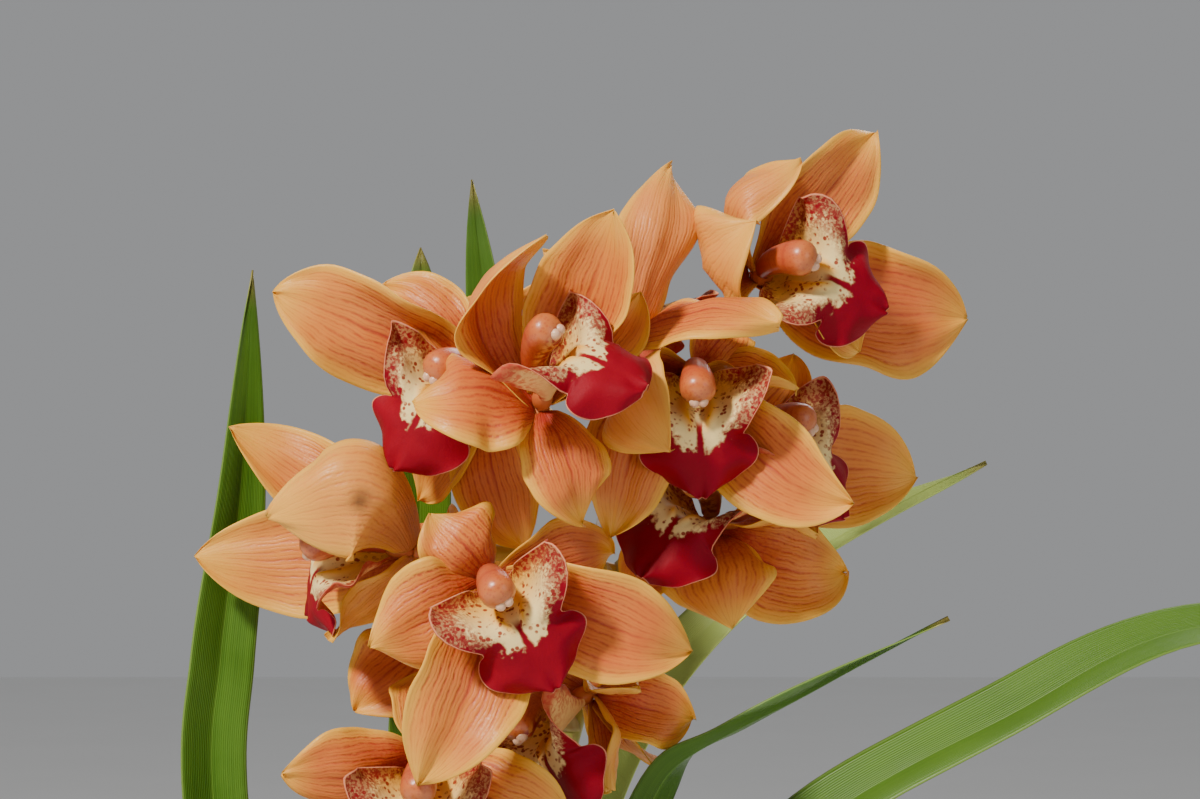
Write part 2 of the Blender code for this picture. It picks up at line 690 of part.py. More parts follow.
def build_bark(material):
    low = POT_FLOOR + GAP
    top = bark_top()
    points = [Vector((0.0, 0.0, low)), Vector((0.0, 0.0, top))]
    faces = []
    edge_low = []
    for n in range(BARK_SEGMENTS):
        turn = 2.0 * math.pi * n / BARK_SEGMENTS
        radius = (inner_radius(low) - GAP) * math.cos(math.pi / POT_SEGMENTS)
        edge_low.append(len(points))
        points.append(Vector((radius * math.cos(turn), radius * math.sin(turn), low)))
    rings = []
    for ring in range(BARK_RINGS, 0, -1):
        indices = []
        for n in range(BARK_SEGMENTS):
            turn = 2.0 * math.pi * n / BARK_SEGMENTS
            lift = BARK_BUMP * math.sin(2.9 * n + 1.7 * ring) * math.cos(1.3 * n * ring + 0.4)
            height = top + lift - (BARK_BUMP if ring == BARK_RINGS else 0.0)
            full = (inner_radius(height) - GAP) * math.cos(math.pi / POT_SEGMENTS)
            radius = full * ring / BARK_RINGS
            indices.append(len(points))
            points.append(Vector((radius * math.cos(turn), radius * math.sin(turn), height)))
        rings.append(indices)
    for n in range(BARK_SEGMENTS):
        m = (n + 1) % BARK_SEGMENTS
        faces.append((0, edge_low[m], edge_low[n]))
        faces.append((edge_low[n], edge_low[m], rings[0][m], rings[0][n]))
        for outer, inner in zip(rings, rings[1:]):
            faces.append((outer[n], outer[m], inner[m], inner[n]))
        faces.append((rings[-1][n], rings[-1][m], 1))
    bark = add_object("bark_mix", mesh_from("bark_mix", points, faces), material)
    for name, spec in BULBS.items():
        cut(bark, bulb_mesh(f"{name}_seat", spec, GAP), f"bulb_seat_{name}", material)
    spike = [spike_points()[0] - Vector((0.0, 0.0, GAP)), spike_points()[3]]
    cut(bark, tube("spike_seat", spike, [SPIKE_FOOT_RADIUS + 2 * GAP] * 2, 8), "spike_seat", material)
    stake = [stake_axis(STAKE_FOOT - GAP), stake_axis(POT_HEIGHT)]
    cut(bark, tube("stake_seat", stake, [STAKE_RADIUS + GAP] * 2, 8), "stake_seat", material)


def build_clip(name, height, material):
    """A flat band around the stake and the spike."""
    stake = stake_axis(height)
    spike, radius = spike_at(height)
    outline = []
    apart = spike - stake
    heading = math.atan2(apart.y, apart.x)
    for centre, round_radius, start in ((spike, radius, -90.0), (stake, STAKE_RADIUS, 90.0)):
        for k in range(7):
            turn = heading + math.radians(start + 180.0 * k / 6.0)
            outline.append((centre, round_radius, Vector((math.cos(turn), math.sin(turn), 0.0))))
    points = []
    count = len(outline)
    for grow in (CLIP_SLACK, CLIP_SLACK + CLIP_THICKNESS):
        for level in (-CLIP_WIDTH / 2.0, CLIP_WIDTH / 2.0):
            for centre, round_radius, way in outline:
                spot = Vector((centre.x, centre.y, height + level)) + way * (round_radius + grow)
                points.append(spot)
    faces = []
    for n in range(count):
        m = (n + 1) % count
        inner_low, inner_high, outer_low, outer_high = (count * k for k in range(4))
        faces.append((inner_low + n, inner_low + m, inner_high + m, inner_high + n))
        faces.append((outer_low + n, outer_high + n, outer_high + m, outer_low + m))
        faces.append((inner_low + n, outer_low + n, outer_low + m, inner_low + m))
        faces.append((inner_high + n, inner_high + m, outer_high + m, outer_high + n))
    add_object(name, mesh_from(name, points, faces), material)


def main():
    clear_scene()
    materials = {
        "tepal": make_material("tepal", (0.80, 0.36, 0.16), 0.45),
        "lip": make_material("lip", (0.55, 0.02, 0.03), 0.35),
        "column": make_material("column", (0.62, 0.22, 0.10), 0.35),
        "leaf": make_material("leaf", (0.10, 0.27, 0.03), 0.40),
        "stem": make_material("stem", CREAM_GREEN, 0.45),
        "stake": make_material("stake", (0.33, 0.33, 0.33), 0.50),
        "clip": make_material("clip", (0.05, 0.16, 0.06), 0.45),
        "bulb": make_material("bulb", (0.20, 0.30, 0.07), 0.50),
        "bark": make_material("bark", (0.16, 0.08, 0.04), 0.90),
        "pot": make_material("pot", (0.16, 0.07, 0.04), 0.55),
    }
    for place, spec in FLOWERS.items():
        build_flower(place, spec, materials)
    points = spike_points()
    radii = [spike_radius(k / (len(points) - 1)) for k in range(len(points))]
    add_object("flower_spike", tube("flower_spike", points, radii, 8), materials["stem"])
    stake = [stake_axis(STAKE_FOOT), stake_axis(planted((0, 0, STAKE_TOP / MM)).z)]
    add_object("support_stake", tube("support_stake", stake, [STAKE_RADIUS] * 2, 8), materials["stake"])
    for place, height in CLIP_HEIGHTS.items():
        build_clip(f"stake_clip_{place}", planted((0, 0, height)).z, materials["clip"])
    for name, spec in LEAVES.items():
        build_leaf(f"leaf_{name}", spec, materials["leaf"])
    for name, spec in BULBS.items():
        add_object(f"bulb_{name}", bulb_mesh(f"bulb_{name}", spec, 0.0), materials["bulb"])
    build_pot(materials["pot"])
    build_bark(materials["bark"])


main()
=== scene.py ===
"""Looks of the potted boat orchid: its petals, lips, columns, leaves, spike, stake, bark and pot.

Metres, +Z up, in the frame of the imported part: the flowers face -Y. The tables repeat the places
that the part's own source gives, in millimetres, because this script can't read that file.
"""

import math
import random

import bmesh
import bpy
from mathutils import Matrix, Vector, noise

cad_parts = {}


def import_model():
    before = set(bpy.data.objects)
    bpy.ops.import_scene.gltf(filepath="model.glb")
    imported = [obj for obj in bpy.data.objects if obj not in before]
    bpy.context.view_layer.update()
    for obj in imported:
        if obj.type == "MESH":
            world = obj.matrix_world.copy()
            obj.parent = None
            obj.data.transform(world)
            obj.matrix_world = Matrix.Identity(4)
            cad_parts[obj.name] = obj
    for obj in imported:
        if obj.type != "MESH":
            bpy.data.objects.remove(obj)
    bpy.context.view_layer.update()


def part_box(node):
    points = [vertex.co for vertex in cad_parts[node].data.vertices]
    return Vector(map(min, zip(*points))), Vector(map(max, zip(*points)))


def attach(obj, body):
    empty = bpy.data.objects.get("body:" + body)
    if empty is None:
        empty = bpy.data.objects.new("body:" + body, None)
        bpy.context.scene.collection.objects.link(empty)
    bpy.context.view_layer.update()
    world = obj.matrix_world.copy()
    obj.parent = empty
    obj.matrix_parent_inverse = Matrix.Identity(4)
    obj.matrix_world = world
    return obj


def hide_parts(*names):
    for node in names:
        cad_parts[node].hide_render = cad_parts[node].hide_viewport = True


MM = 0.001

# The part's own sizes that no box shows
TABLE_POT_HEIGHT = 0.165        # the height of the pot that the tables were made for
RIM_BAND = 0.016
RIM_STEP = 0.003
POT_WALL = 0.003
POT_FLOOR = 0.005
POT_FOOT_RADIUS = 0.062
HEADSPACE = 0.024
DRAIN_HOLES = 6
DRAIN_RADIUS = 0.0025
DRAIN_CIRCLE = 0.040
HUB_RADIUS = 0.0040
HUB_RADII = (0.0031, 0.0031, 0.0046)
OVARY_RADIUS = 0.0028
PEDICEL_RADIUS = 0.0019
LIP_LENGTH = 0.043
LIP_HALF_WIDTH = 0.0190
COLUMN_LENGTH = 0.026
COLUMN_RADIUS = 0.0046
LIP_START = (0.0015, -0.0030)     # where the lip begins: ahead of the hub, and above its centre
COLUMN_START = (0.0030, 0.0022)   # the same for the column
SPIKE_FOOT_RADIUS = 0.0040
SPIKE_TIP_RADIUS = 0.0024
SHEATH_HEIGHT = 0.012

CAP_LOBE_APART = 0.0012         # from the middle of the anther cap to the middle of each lobe

PALE_LEAF = "right_behind"      # the young leaf that is much lighter than the rest
BRUISED = ("left", 0)           # the one petal with a brown bruise

STAKE_RADIUS = 0.0020
CLIP_SLACK = 0.0012             # between a clip and what it holds
CLIP_HALF_THICKNESS = 0.0006
CLIP_HALF_HEIGHT = 0.0025
BEAD_OUT = 0.0044               # from the middle of the stake to a clip's hinge bead
BEAD_RADIUS = 0.0009
BULB_SHEATH = 0.0009            # how far the papery sheaths of a bulb stand out
FLOWER_BRACT = 0.009            # the length of the sheath below each flower's stalk
BARE_BRACT = 0.026              # the length of the sheaths on the bare lower spike
FOOT_RECESS = 0.0012            # how far the pot's underside stands above the floor
POT_EDGE_RADIUS = 0.0010
BARK_GAP = 0.0006               # between the bark and the pot's wall
CHIP_COUNT = 330
CHIP_SIZES = (0.0032, 0.0072)   # smallest and largest half length of a chip of bark

# The sheaths on the bare lower spike: height, and the turn about the spike in radians
BARE_BRACTS = ((0.165, 0.6), (0.192, 3.6), (0.255, 5.4), (0.318, 2.2))

# Thicknesses that show
TEPAL_THICKNESS = 0.0007
TEPAL_MARGIN = 0.0003
LIP_THICKNESS = 0.0007
LIP_MARGIN = 0.0003
LEAF_THICKNESS = 0.0011
LEAF_MARGIN = 0.0005


def tepal(tip, width, bow=4, cup=50, sweep=0, root=None, face=None):
    """One sepal or petal, as the part's source lists it: its tip from the hub and its width in
    millimetres, its arch, how far its margins rise, its sideways bend, the side of the hub that it
    grows from and the way that its inner face looks."""
    return dict(tip=tip, width=width, bow=bow, cup=cup, sweep=sweep, root=root, face=face)


# Each flower: hub in millimetres, the way it faces, the way its lip hangs, the height at which its
# stalk leaves the spike, and its five tepals.
FLOWERS = {
    "top": dict(
        hub=(43, -28, 499), facing=(0.12, -0.70, 0.70), lip=(0.85, -0.3, -0.4), leaves_spike=490,
        tepals=[
            tepal((21, -14, 55), 33, bow=-6, cup=50, root=(0, 1, 0.6)),
            tepal((-1, -22, 47), 32, bow=-19, cup=45, root=(-1, 0, 0), face=(0.75, -0.35, -0.3)),
            tepal((-35, -16, 0), 42, bow=7, cup=-30),
            tepal((11, -9, -34), 28, bow=6, cup=-10),
            tepal((30, 6, 32), 20, bow=-4, cup=50, face=(-0.5, -0.7, 0.0)),
        ]),
    "crown": dict(
        hub=(66, -6, 518), facing=(0.30, 0.62, 0.70), lip=(-0.2, 0.9, -0.6), leaves_spike=505,
        tepals=[
            tepal((14, 10, 54), 26, bow=-8, cup=30, root=(0.3, -1, 0), face=(-0.4, 0.9, -0.1)),
            tepal((-24, 6, 25), 20, bow=-4, cup=40, face=(0.7, 0.3, -0.4)),
            tepal((46, -30, 4), 30, bow=8, cup=-35, face=(0.05, -0.60, 0.8)),
            tepal((-10, 44, -10), 22, bow=3, cup=40),
            tepal((-32, 24, 12), 20, bow=3, cup=40),
        ]),
    "upper_right": dict(
        hub=(108, 10, 537), facing=(0.48, -0.86, 0.14), lip=(1.0, 0.0, -0.38), leaves_spike=498,
        tepals=[
            tepal((36, 6, 45), 29, bow=3, cup=30, face=(0.35, -0.9, 0.0)),
            tepal((17, -14, 31), 29, bow=-19, cup=45, root=(-0.6, 0, 0.8), face=(0.6, 0.5, -0.6)),
            tepal((-4, -30, 15), 34, bow=-14, cup=40, root=(-1, 0, 0.3), face=(0.75, 0.6, 0.0)),
            tepal((68, 20, -9), 41, bow=-2, cup=30, sweep=5, face=(0.1, -1.0, 0.1)),
            tepal((30, -5, -22), 26, bow=5, cup=40, face=(0.2, -0.7, 0.6)),
        ]),
    "centre": dict(
        hub=(88, -4, 508), facing=(0.02, -0.96, -0.24), lip=(0.05, 0.1, -1.0), leaves_spike=482,
        tepals=[
            tepal((12, 8, 18), 22, bow=3, cup=30),
            tepal((-5, -38, -25), 32, bow=-21, cup=40, root=(-1, 0, -0.3), face=(0.6, 0.8, 0.14)),
            tepal((-22, -20, -50), 28, bow=3, cup=10, sweep=7, root=(-1, 0, -0.3)),
            tepal((45, -14, -41), 31, bow=7, cup=25, sweep=5),
            tepal((30, -8, -7), 20, bow=4, cup=60, face=(0.1, -0.4, 0.9)),
        ]),
    "right": dict(
        hub=(101, 16, 486), facing=(0.70, -0.64, 0.20), lip=(0.6, 0.1, -0.8), leaves_spike=475,
        tepals=[
            tepal((20, 4, 26), 22, bow=4, cup=30, root=(0, 0.3, 1), face=(0.5, -0.8, 0.2)),
            tepal((60, 22, -7), 40, bow=-6, cup=30, sweep=3, root=(0.6, 0.8, 0), face=(0.1, -1.0, 0.1)),
            tepal((8, 36, 24), 22, bow=4, cup=30),
            tepal((22, 36, -26), 24, bow=4, cup=30),
            tepal((-2, 40, -8), 22, bow=4, cup=30),
        ]),
    "lower_right": dict(
        hub=(94, 17, 461), facing=(-0.22, -0.85, 0.46), lip=(-0.5, -0.3, -0.8), leaves_spike=462,
        tepals=[
            tepal((5, -20, -29), 37, bow=8, cup=-40),
            tepal((42, 2, -13), 33, bow=4, cup=30, sweep=6, face=(0.0, -1.0, 0.1)),
            tepal((32, -12, -1), 18, bow=4, cup=50, face=(0.2, -0.5, 0.9)),
            tepal((-26, 4, -20), 24, bow=4, cup=30),
            tepal((16, 34, -22), 20, bow=4, cup=30),
        ]),
    "upper_left": dict(
        hub=(24, 0, 506), facing=(-0.42, -0.90, 0.05), lip=(-0.5, 0.0, -0.85), leaves_spike=469,
        tepals=[
            tepal((-61, -4, 28), 33, bow=4, cup=20),
            tepal((-28, 9, 30), 24, bow=5, cup=40, face=(-0.2, -0.6, 0.8)),
            tepal((12, 4, -52), 28, bow=6, cup=20),
            tepal((-17, 16, -38), 24, bow=4, cup=30),
            tepal((-7, 30, 24), 20, bow=3, cup=30),
        ]),
    "left": dict(
        hub=(2, -1, 455), facing=(-0.93, -0.24, 0.02), lip=(-0.30, 0.70, -0.70), leaves_spike=447,
        tepals=[
            tepal((-39, -18, 7), 41, bow=-17, cup=50, sweep=-11, root=(0, -1, 0.3), face=(0.1, 0.95, -0.2)),
            tepal((-56, 44, 37), 28, bow=-14, cup=10, root=(0, 1, 0.4), face=(0.0, -1.0, 0.1)),
            tepal((-69, 36, -5), 36, bow=-16, cup=20, root=(0, 1, -0.3), face=(0.0, -1.0, 0.1)),
            tepal((-24, 2, -26), 20, bow=-3, cup=40, root=(0, -0.3, -1), face=(-0.2, 0.3, 0.9)),
            tepal((12, 24, 5), 20, bow=4, cup=30, face=(-0.5, -0.8, 0.2)),
        ]),
    "lower": dict(
        hub=(29, -24, 447), facing=(0.10, -0.96, -0.12), lip=(0.5, 0.1, -0.87), leaves_spike=439,
        tepals=[
            tepal((-19, 0, 19), 29, bow=6, cup=-30, face=(-0.2, -0.8, 0.5)),
            tepal((-36, -8, -19), 33, bow=7, cup=-30),
            tepal((35, 12, 9), 28, bow=5, cup=30),
            tepal((57, -6, -21), 33, bow=7, cup=25),
            tepal((-21, -20, -57), 34, bow=8, cup=30, sweep=-3),
        ]),
    "bottom_left": dict(
        hub=(8, -6, 392), facing=(-0.02, -0.95, -0.25), lip=(0.05, 0.1, -1.0), leaves_spike=402,
        tepals=[
            tepal((2, 20, 26), 25, bow=4, cup=30),
            tepal((-42, -12, -3), 32, bow=8, cup=-30),
            tepal((44, -14, -17), 32, bow=8, cup=-20),
            tepal((-24, -6, -50), 30, bow=7, cup=30),
            tepal((30, -6, -48), 30, bow=7, cup=30),
        ]),
    "lower_back": dict(
        hub=(56, 8, 411), facing=(-0.60, -0.55, -0.30), lip=(0.2, -0.4, -0.9), leaves_spike=413,
        tepals=[
            tepal((15, -16, 0), 20, bow=3, cup=50, face=(0.1, -0.6, 0.8)),
            tepal((4, -20, -27), 22, bow=-6, cup=70, face=(-0.8, -0.3, 0.1)),
            tepal((32, 2, -9), 24, bow=4, cup=30, face=(0.0, -1.0, 0.3)),
            tepal((26, 26, -24), 22, bow=4, cup=30),
            tepal((-20, 8, 17), 24, bow=4, cup=30),
        ]),
    "left_back": dict(
        hub=(12, 26, 430), facing=(-0.35, 0.92, -0.05), lip=(1.0, 0.1, -0.3), leaves_spike=427,
        tepals=[
            tepal((-28, -8, -24), 28, bow=4, cup=-30, face=(-0.2, -1.0, 0.1)),
            tepal((-26, 14, 30), 26, bow=4, cup=30),
            tepal((12, 16, 34), 26, bow=4, cup=30),
            tepal((28, 22, -20), 26, bow=4, cup=30),
            tepal((6, 10, -44), 26, bow=4, cup=30),
        ]),
}

# The spike's own route, in millimetres, from the bark to its tip.
SPIKE_ROUTE = [
    (-13, 12, 132), (-3, 15, 200), (20, 20, 285), (41, 25, 360), (55, 28, 412),
    (63, 29, 442), (75, 29, 457), (84, 28, 480), (88, 27, 506),
]

# Each leaf: the bulb it grows from and its seat on the bulb's top, its route to its tip and its width
# in millimetres, how far its halves fold up, how blunt its point is, and where its upper face looks.
LEAVES = {
    "left_front": dict(
        bulb="left", seat=(-1, -3), width=23, fold=26, point=3.0, face=(0.3, -1.0, 0.1),
        route=[(-50, 44, 290), (-62, 50, 375), (-60, 52, 418), (-54, 54, 469), (-50, 56, 541)]),
    "left_upright": dict(
        bulb="centre", seat=(-4, -3), width=20, fold=20, point=8.0, face=(0.3, -1.0, 0.1),
        route=[(-7, 66, 300), (1, 72, 400), (2, 74, 480), (2, 76, 549)]),
    "centre_upright": dict(
        bulb="centre", seat=(4, 1), width=20, fold=25, point=5.0, face=(-0.3, -1.0, 0.1),
        route=[(18, 70, 300), (29, 84, 400), (28, 88, 480), (18, 92, 572)]),
    "right_behind": dict(
        bulb="right", seat=(-1, 6), width=20, fold=18, point=3.5, face=(0.0, -0.6, 0.8),
        route=[(40, 62, 300), (60, 90, 372), (90, 98, 419), (131, 102, 450), (188, 104, 479)]),
    "right_thin": dict(
        bulb="right", seat=(-2, -5), width=14, fold=18, point=2.5, face=(0.3, 0.35, 0.9),
        route=[(50, 6, 300), (76, 4, 379), (103, 3, 402), (165, 2, 434)]),
    "right_broad": dict(
        bulb="right", seat=(3, -2), width=30, fold=14, point=2.4, face=(-0.35, -0.50, 0.80),
        route=[(70, 18, 305), (120, 10, 366), (182, 4, 404), (244, 0, 432), (330, -4, 424)]),
    "left_low": dict(
        bulb="left", seat=(-3, 3), width=26, fold=16, point=2.0, face=(0.2, -0.4, 0.9),
        route=[(-82, 24, 290), (-124, 26, 336), (-168, 26, 346), (-220, 24, 312)]),
    "back_low": dict(
        bulb="centre", seat=(-1, 9), width=26, fold=16, point=2.0, face=(0.0, 0.2, 1.0),
        route=[(2, 108, 290), (10, 146, 340), (20, 192, 348), (26, 238, 306)]),
    "front_low": dict(
        bulb="front", seat=(0, 0), width=24, fold=16, point=2.0, face=(0.0, 0.2, 1.0),
        route=[(-28, -44, 270), (-34, -84, 312), (-38, -130, 314), (-42, -176, 278)]),
}

BULBS = ("left", "centre", "right", "front")

# Half the lip's width against its widest mid lobe, at shares of its length: the side lobes that stand
# up by the column, the notch, and the mid lobe's shoulders and rounded end.
LIP_OUTLINE = [
    (0.0, 0.26), (0.12, 0.70), (0.24, 1.12), (0.35, 1.30), (0.43, 1.16), (0.49, 0.80), (0.54, 0.66),
    (0.60, 0.90), (0.68, 1.00), (0.77, 0.93), (0.86, 0.75), (0.94, 0.54), (1.0, 0.15),
]

# How far the stake leans sideways for each metre that it rises
STAKE_LEAN = Vector((0.273, 0.065, 1.0))


# --- Meshes -------------------------------------------------------------------------------------------

def new_object(name, data):
    item = bpy.data.objects.new(name, data)
    bpy.context.scene.collection.objects.link(item)
    return item


def turns(count):
    """Equal turns round a circle, in radians."""
    return [2.0 * math.pi * n / count for n in range(count)]


def level_way(turn):
    """The level direction at a turn about the upright."""
    return Vector((math.cos(turn), math.sin(turn), 0.0))


class Pile:
    """Points, faces and named values for each point, gathered until they become one mesh."""

    def __init__(self, *channels):
        self.points = []
        self.faces = []
        self.values = {name: [] for name in channels}

    def point(self, place, **values):
        self.points.append(tuple(place))
        for name, column in self.values.items():
            column.append(values.get(name, 0.0))
        return len(self.points) - 1

    def face(self, *corners):
        self.faces.append(corners)

    def band(self, near, far):
        """Four-cornered faces between two closed rings of points."""
        for n in range(len(near)):
            m = (n + 1) % len(near)
            self.face(near[n], near[m], far[m], far[n])

    def wall(self, rings):
        for near, far in zip(rings, rings[1:]):
            self.band(near, far)

    def cap(self, ring, middle):
        """Three-cornered faces from a closed ring of points to one point."""
        for n in range(len(ring)):
            self.face(ring[n], ring[(n + 1) % len(ring)], middle)

    def piece(self, name, material, slot, *replaced):
        """The mesh as a smooth-shaded piece that rides with the plant and stands for CAD nodes."""
        mesh = bpy.data.meshes.new(name)
        mesh.from_pydata(self.points, [], self.faces)
        for channel, column in self.values.items():
            attribute = mesh.attributes.new(channel, "FLOAT", "POINT")
            attribute.data.foreach_set("value", column)
        work = bmesh.new()
        work.from_mesh(mesh)
        bmesh.ops.recalc_face_normals(work, faces=work.faces)
        work.to_mesh(mesh)
        work.free()
        mesh.shade_smooth()
        mesh.materials.append(material)
        item = new_object(name, mesh)
        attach(item, "root")
        if replaced:
            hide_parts(*replaced)
        return item


def ease(x):
    """Rises smoothly from 0 to 1 as x goes from 0 to 1."""
    x = min(max(x, 0.0), 1.0)
    return x * x * (3.0 - 2.0 * x)


def spread(count, low=0.0, high=1.0):
    """Equally spaced numbers from low to high."""
    return [low + (high - low) * k / (count - 1) for k in range(count)]


def margin_spread(count):
    """Numbers from -1 to 1 that lie closer together towards both ends."""
    return [math.sin(u * math.pi / 2.0) * 0.3 + u * 0.7 for u in spread(count, -1.0, 1.0)]


def add_sheet(pile, stations, columns, surface, thickness, describe):
    """A thin closed sheet about a surface. surface(s, t) gives a point and its normal, thickness(s, t)
    its thickness there, and describe(s, t, inner) the values that its material reads."""
    grids = []
    for side in (0.5, -0.5):
        grid = []
        for s in stations:
            row = []
            for t in columns:
                place, normal = surface(s, t)
                place = place + normal * thickness(s, t) * side
                row.append(pile.point(place, **describe(s, t, float(side > 0.0))))
            grid.append(row)
        grids.append(grid)
    upper, lower = grids
    for i in range(len(stations) - 1):
        for j in range(len(columns) - 1):
            pile.face(upper[i][j], upper[i][j + 1], upper[i + 1][j + 1], upper[i + 1][j])
            pile.face(lower[i][j], lower[i + 1][j], lower[i + 1][j + 1], lower[i][j + 1])
        for j in (0, -1):
            pile.face(upper[i][j], upper[i + 1][j], lower[i + 1][j], lower[i][j])
    for j in range(len(columns) - 1):
        for i in (0, -1):
            pile.face(upper[i][j], upper[i][j + 1], lower[i][j + 1], lower[i][j])


def add_tube(pile, route, radius, sides, describe):
    """A closed tube along a route. radius(u, turn) is its radius a share u along it."""
    side_way = Vector((1.0, 0.0, 0.0))
    rings = []
    for k, centre in enumerate(route):
        u = k / (len(route) - 1)
        ahead = (route[min(k + 1, len(route) - 1)] - route[max(k - 1, 0)]).normalized()
        side_way = (side_way - ahead * side_way.dot(ahead)).normalized()
        up = ahead.cross(side_way)
        ring = []
        for turn in turns(sides):
            way = side_way * math.cos(turn) + up * math.sin(turn)
            ring.append(pile.point(centre + way * radius(u, turn), **describe(u, way)))
        rings.append(ring)
    pile.wall(rings)
    for ring, centre, u in ((rings[0], route[0], 0.0), (rings[-1], route[-1], 1.0)):
        middle = pile.point(centre, **describe(u, Vector((0.0, 0.0, 1.0))))
        pile.cap(ring, middle)


def add_ball(pile, centre, axes, radii, describe, rings=10, sides=14):
    """A closed ball with its own three directions and radii."""
    first, second, third = axes
    grid = []
    for i in range(1, rings):
        tilt = math.pi * i / rings
        row = []
        for turn in turns(sides):
            way = first * math.sin(tilt) * math.cos(turn) * radii[0]
            way = way + second * math.sin(tilt) * math.sin(turn) * radii[1]
            way = way + third * math.cos(tilt) * radii[2]
            row.append(pile.point(centre + way, **describe))
        grid.append(row)
    pile.wall(grid)
    for row, way in ((grid[0], 1.0), (grid[-1], -1.0)):
        pole = pile.point(centre + third * way * radii[2], **describe)
        pile.cap(row, pole)


def smooth_route(points, pieces):
    """Points along a smooth curve through the route's own points."""
    padded = [points[0] * 2.0 - points[1]] + points + [points[-1] * 2.0 - points[-2]]
    route = []
    for k in range(1, len(padded) - 2):
        before, start, end, after = padded[k - 1:k + 3]
        for step in range(pieces):
            u = step / pieces
            route.append(0.5 * (
                start * 2.0 + (end - before) * u
                + (before * 2.0 - start * 5.0 + end * 4.0 - after) * u * u
                + (start * 3.0 - before - end * 3.0 + after) * u ** 3))
    route.append(points[-1].copy())
    return route


def rolled(centre, side, up, reach, bend):
    """A place at an arc length reach along a cross-section that rolls through an angle bend."""
    if abs(bend) < 1e-6:
        return centre + side * reach, up
    radius = reach / bend
    place = centre + side * radius * math.sin(bend) + up * radius * (1.0 - math.cos(bend))
    return place, up * math.cos(bend) - side * math.sin(bend)


# --- Materials ----------------------------------------------------------------------------------------

class Shade:
    """A node material built up one step at a time."""

    def __init__(self, name, roughness, **constants):
        self.material = bpy.data.materials.new(name)
        self.material.use_nodes = True
        self.tree = self.material.node_tree
        self.shader = self.tree.nodes["Principled BSDF"]
        self.shader.inputs["Roughness"].default_value = roughness
        for socket, value in constants.items():
            self.shader.inputs[socket.replace("_", " ")].default_value = value

    def put(self, socket, value):
        if isinstance(value, bpy.types.NodeSocket):
            self.tree.links.new(value, socket)
        elif isinstance(value, tuple) and len(value) == 3 and socket.type == "RGBA":
            socket.default_value = (*value, 1.0)
        else:
            socket.default_value = value

    def attribute(self, name):
        node = self.tree.nodes.new("ShaderNodeAttribute")
        node.attribute_name = name
        return node.outputs["Fac"]

    def attributes(self, *names):
        return [self.attribute(name) for name in names]

    def maths(self, operation, first, second=0.0):
        node = self.tree.nodes.new("ShaderNodeMath")
        node.operation = operation
        self.put(node.inputs[0], first)
        self.put(node.inputs[1], second)
        return node.outputs[0]

    def times(self, first, second):
        return self.maths("MULTIPLY", first, second)

    def plus(self, first, second):
        return self.maths("ADD", first, second)

    def minus(self, first, second):
        return self.maths("SUBTRACT", first, second)

    def larger(self, first, second):
        return self.maths("MAXIMUM", first, second)

    def size(self, value):
        return self.maths("ABSOLUTE", value)

    def step(self, value, low, high, floor=0.0, top=1.0):
        """Rises smoothly from floor to top as value goes from low to high."""
        node = self.tree.nodes.new("ShaderNodeMapRange")
        node.interpolation_type = "SMOOTHSTEP"
        self.put(node.inputs["Value"], value)
        node.inputs["From Min"].default_value = min(low, high)
        node.inputs["From Max"].default_value = max(low, high)
        node.inputs["To Min"].default_value = floor if low < high else top
        node.inputs["To Max"].default_value = top if low < high else floor
        return node.outputs["Result"]

    def blend(self, share, first, second):
        node = self.tree.nodes.new("ShaderNodeMix")
        node.data_type = "RGBA"
        self.put(node.inputs[0], share)
        self.put(node.inputs[6], first)
        self.put(node.inputs[7], second)
        return node.outputs[2]

    def place(self, x, y, z=0.0):
        node = self.tree.nodes.new("ShaderNodeCombineXYZ")
        for socket, value in zip(node.inputs, (x, y, z)):
            self.put(socket, value)
        return node.outputs[0]

    def ground(self):
        """The place in the object's own metres."""
        return self.tree.nodes.new("ShaderNodeTexCoord").outputs["Object"]

    def grain(self, where, scale, detail=2.0, roughness=0.5):
        node = self.tree.nodes.new("ShaderNodeTexNoise")
        self.put(node.inputs["Vector"], where)
        node.inputs["Scale"].default_value = scale
        node.inputs["Detail"].default_value = detail
        node.inputs["Roughness"].default_value = roughness
        return node.outputs["Fac"]

    def cells(self, where, scale):
        node = self.tree.nodes.new("ShaderNodeTexVoronoi")
        self.put(node.inputs["Vector"], where)
        node.inputs["Scale"].default_value = scale
        return node.outputs["Distance"]

    def lines(self, across, count, width):
        """1 on thin lines that repeat count times from -1 to 1 across, and 0 between them."""
        node = self.tree.nodes.new("ShaderNodeMath")
        node.operation = "PINGPONG"
        self.put(node.inputs[0], self.times(across, count / 2.0))
        node.inputs[1].default_value = 0.5
        return self.step(node.outputs[0], width, 0.0)

    def finish(self, colour, height=None, depth=0.0003, roughness=None):
        self.put(self.shader.inputs["Base Color"], colour)
        if roughness is not None:
            self.put(self.shader.inputs["Roughness"], roughness)
        if height is not None:
            bump = self.tree.nodes.new("ShaderNodeBump")
            bump.inputs["Strength"].default_value = 1.0
            bump.inputs["Distance"].default_value = depth
            self.put(bump.inputs["Height"], height)
            self.put(self.shader.inputs["Normal"], bump.outputs["Normal"])
        return self.material


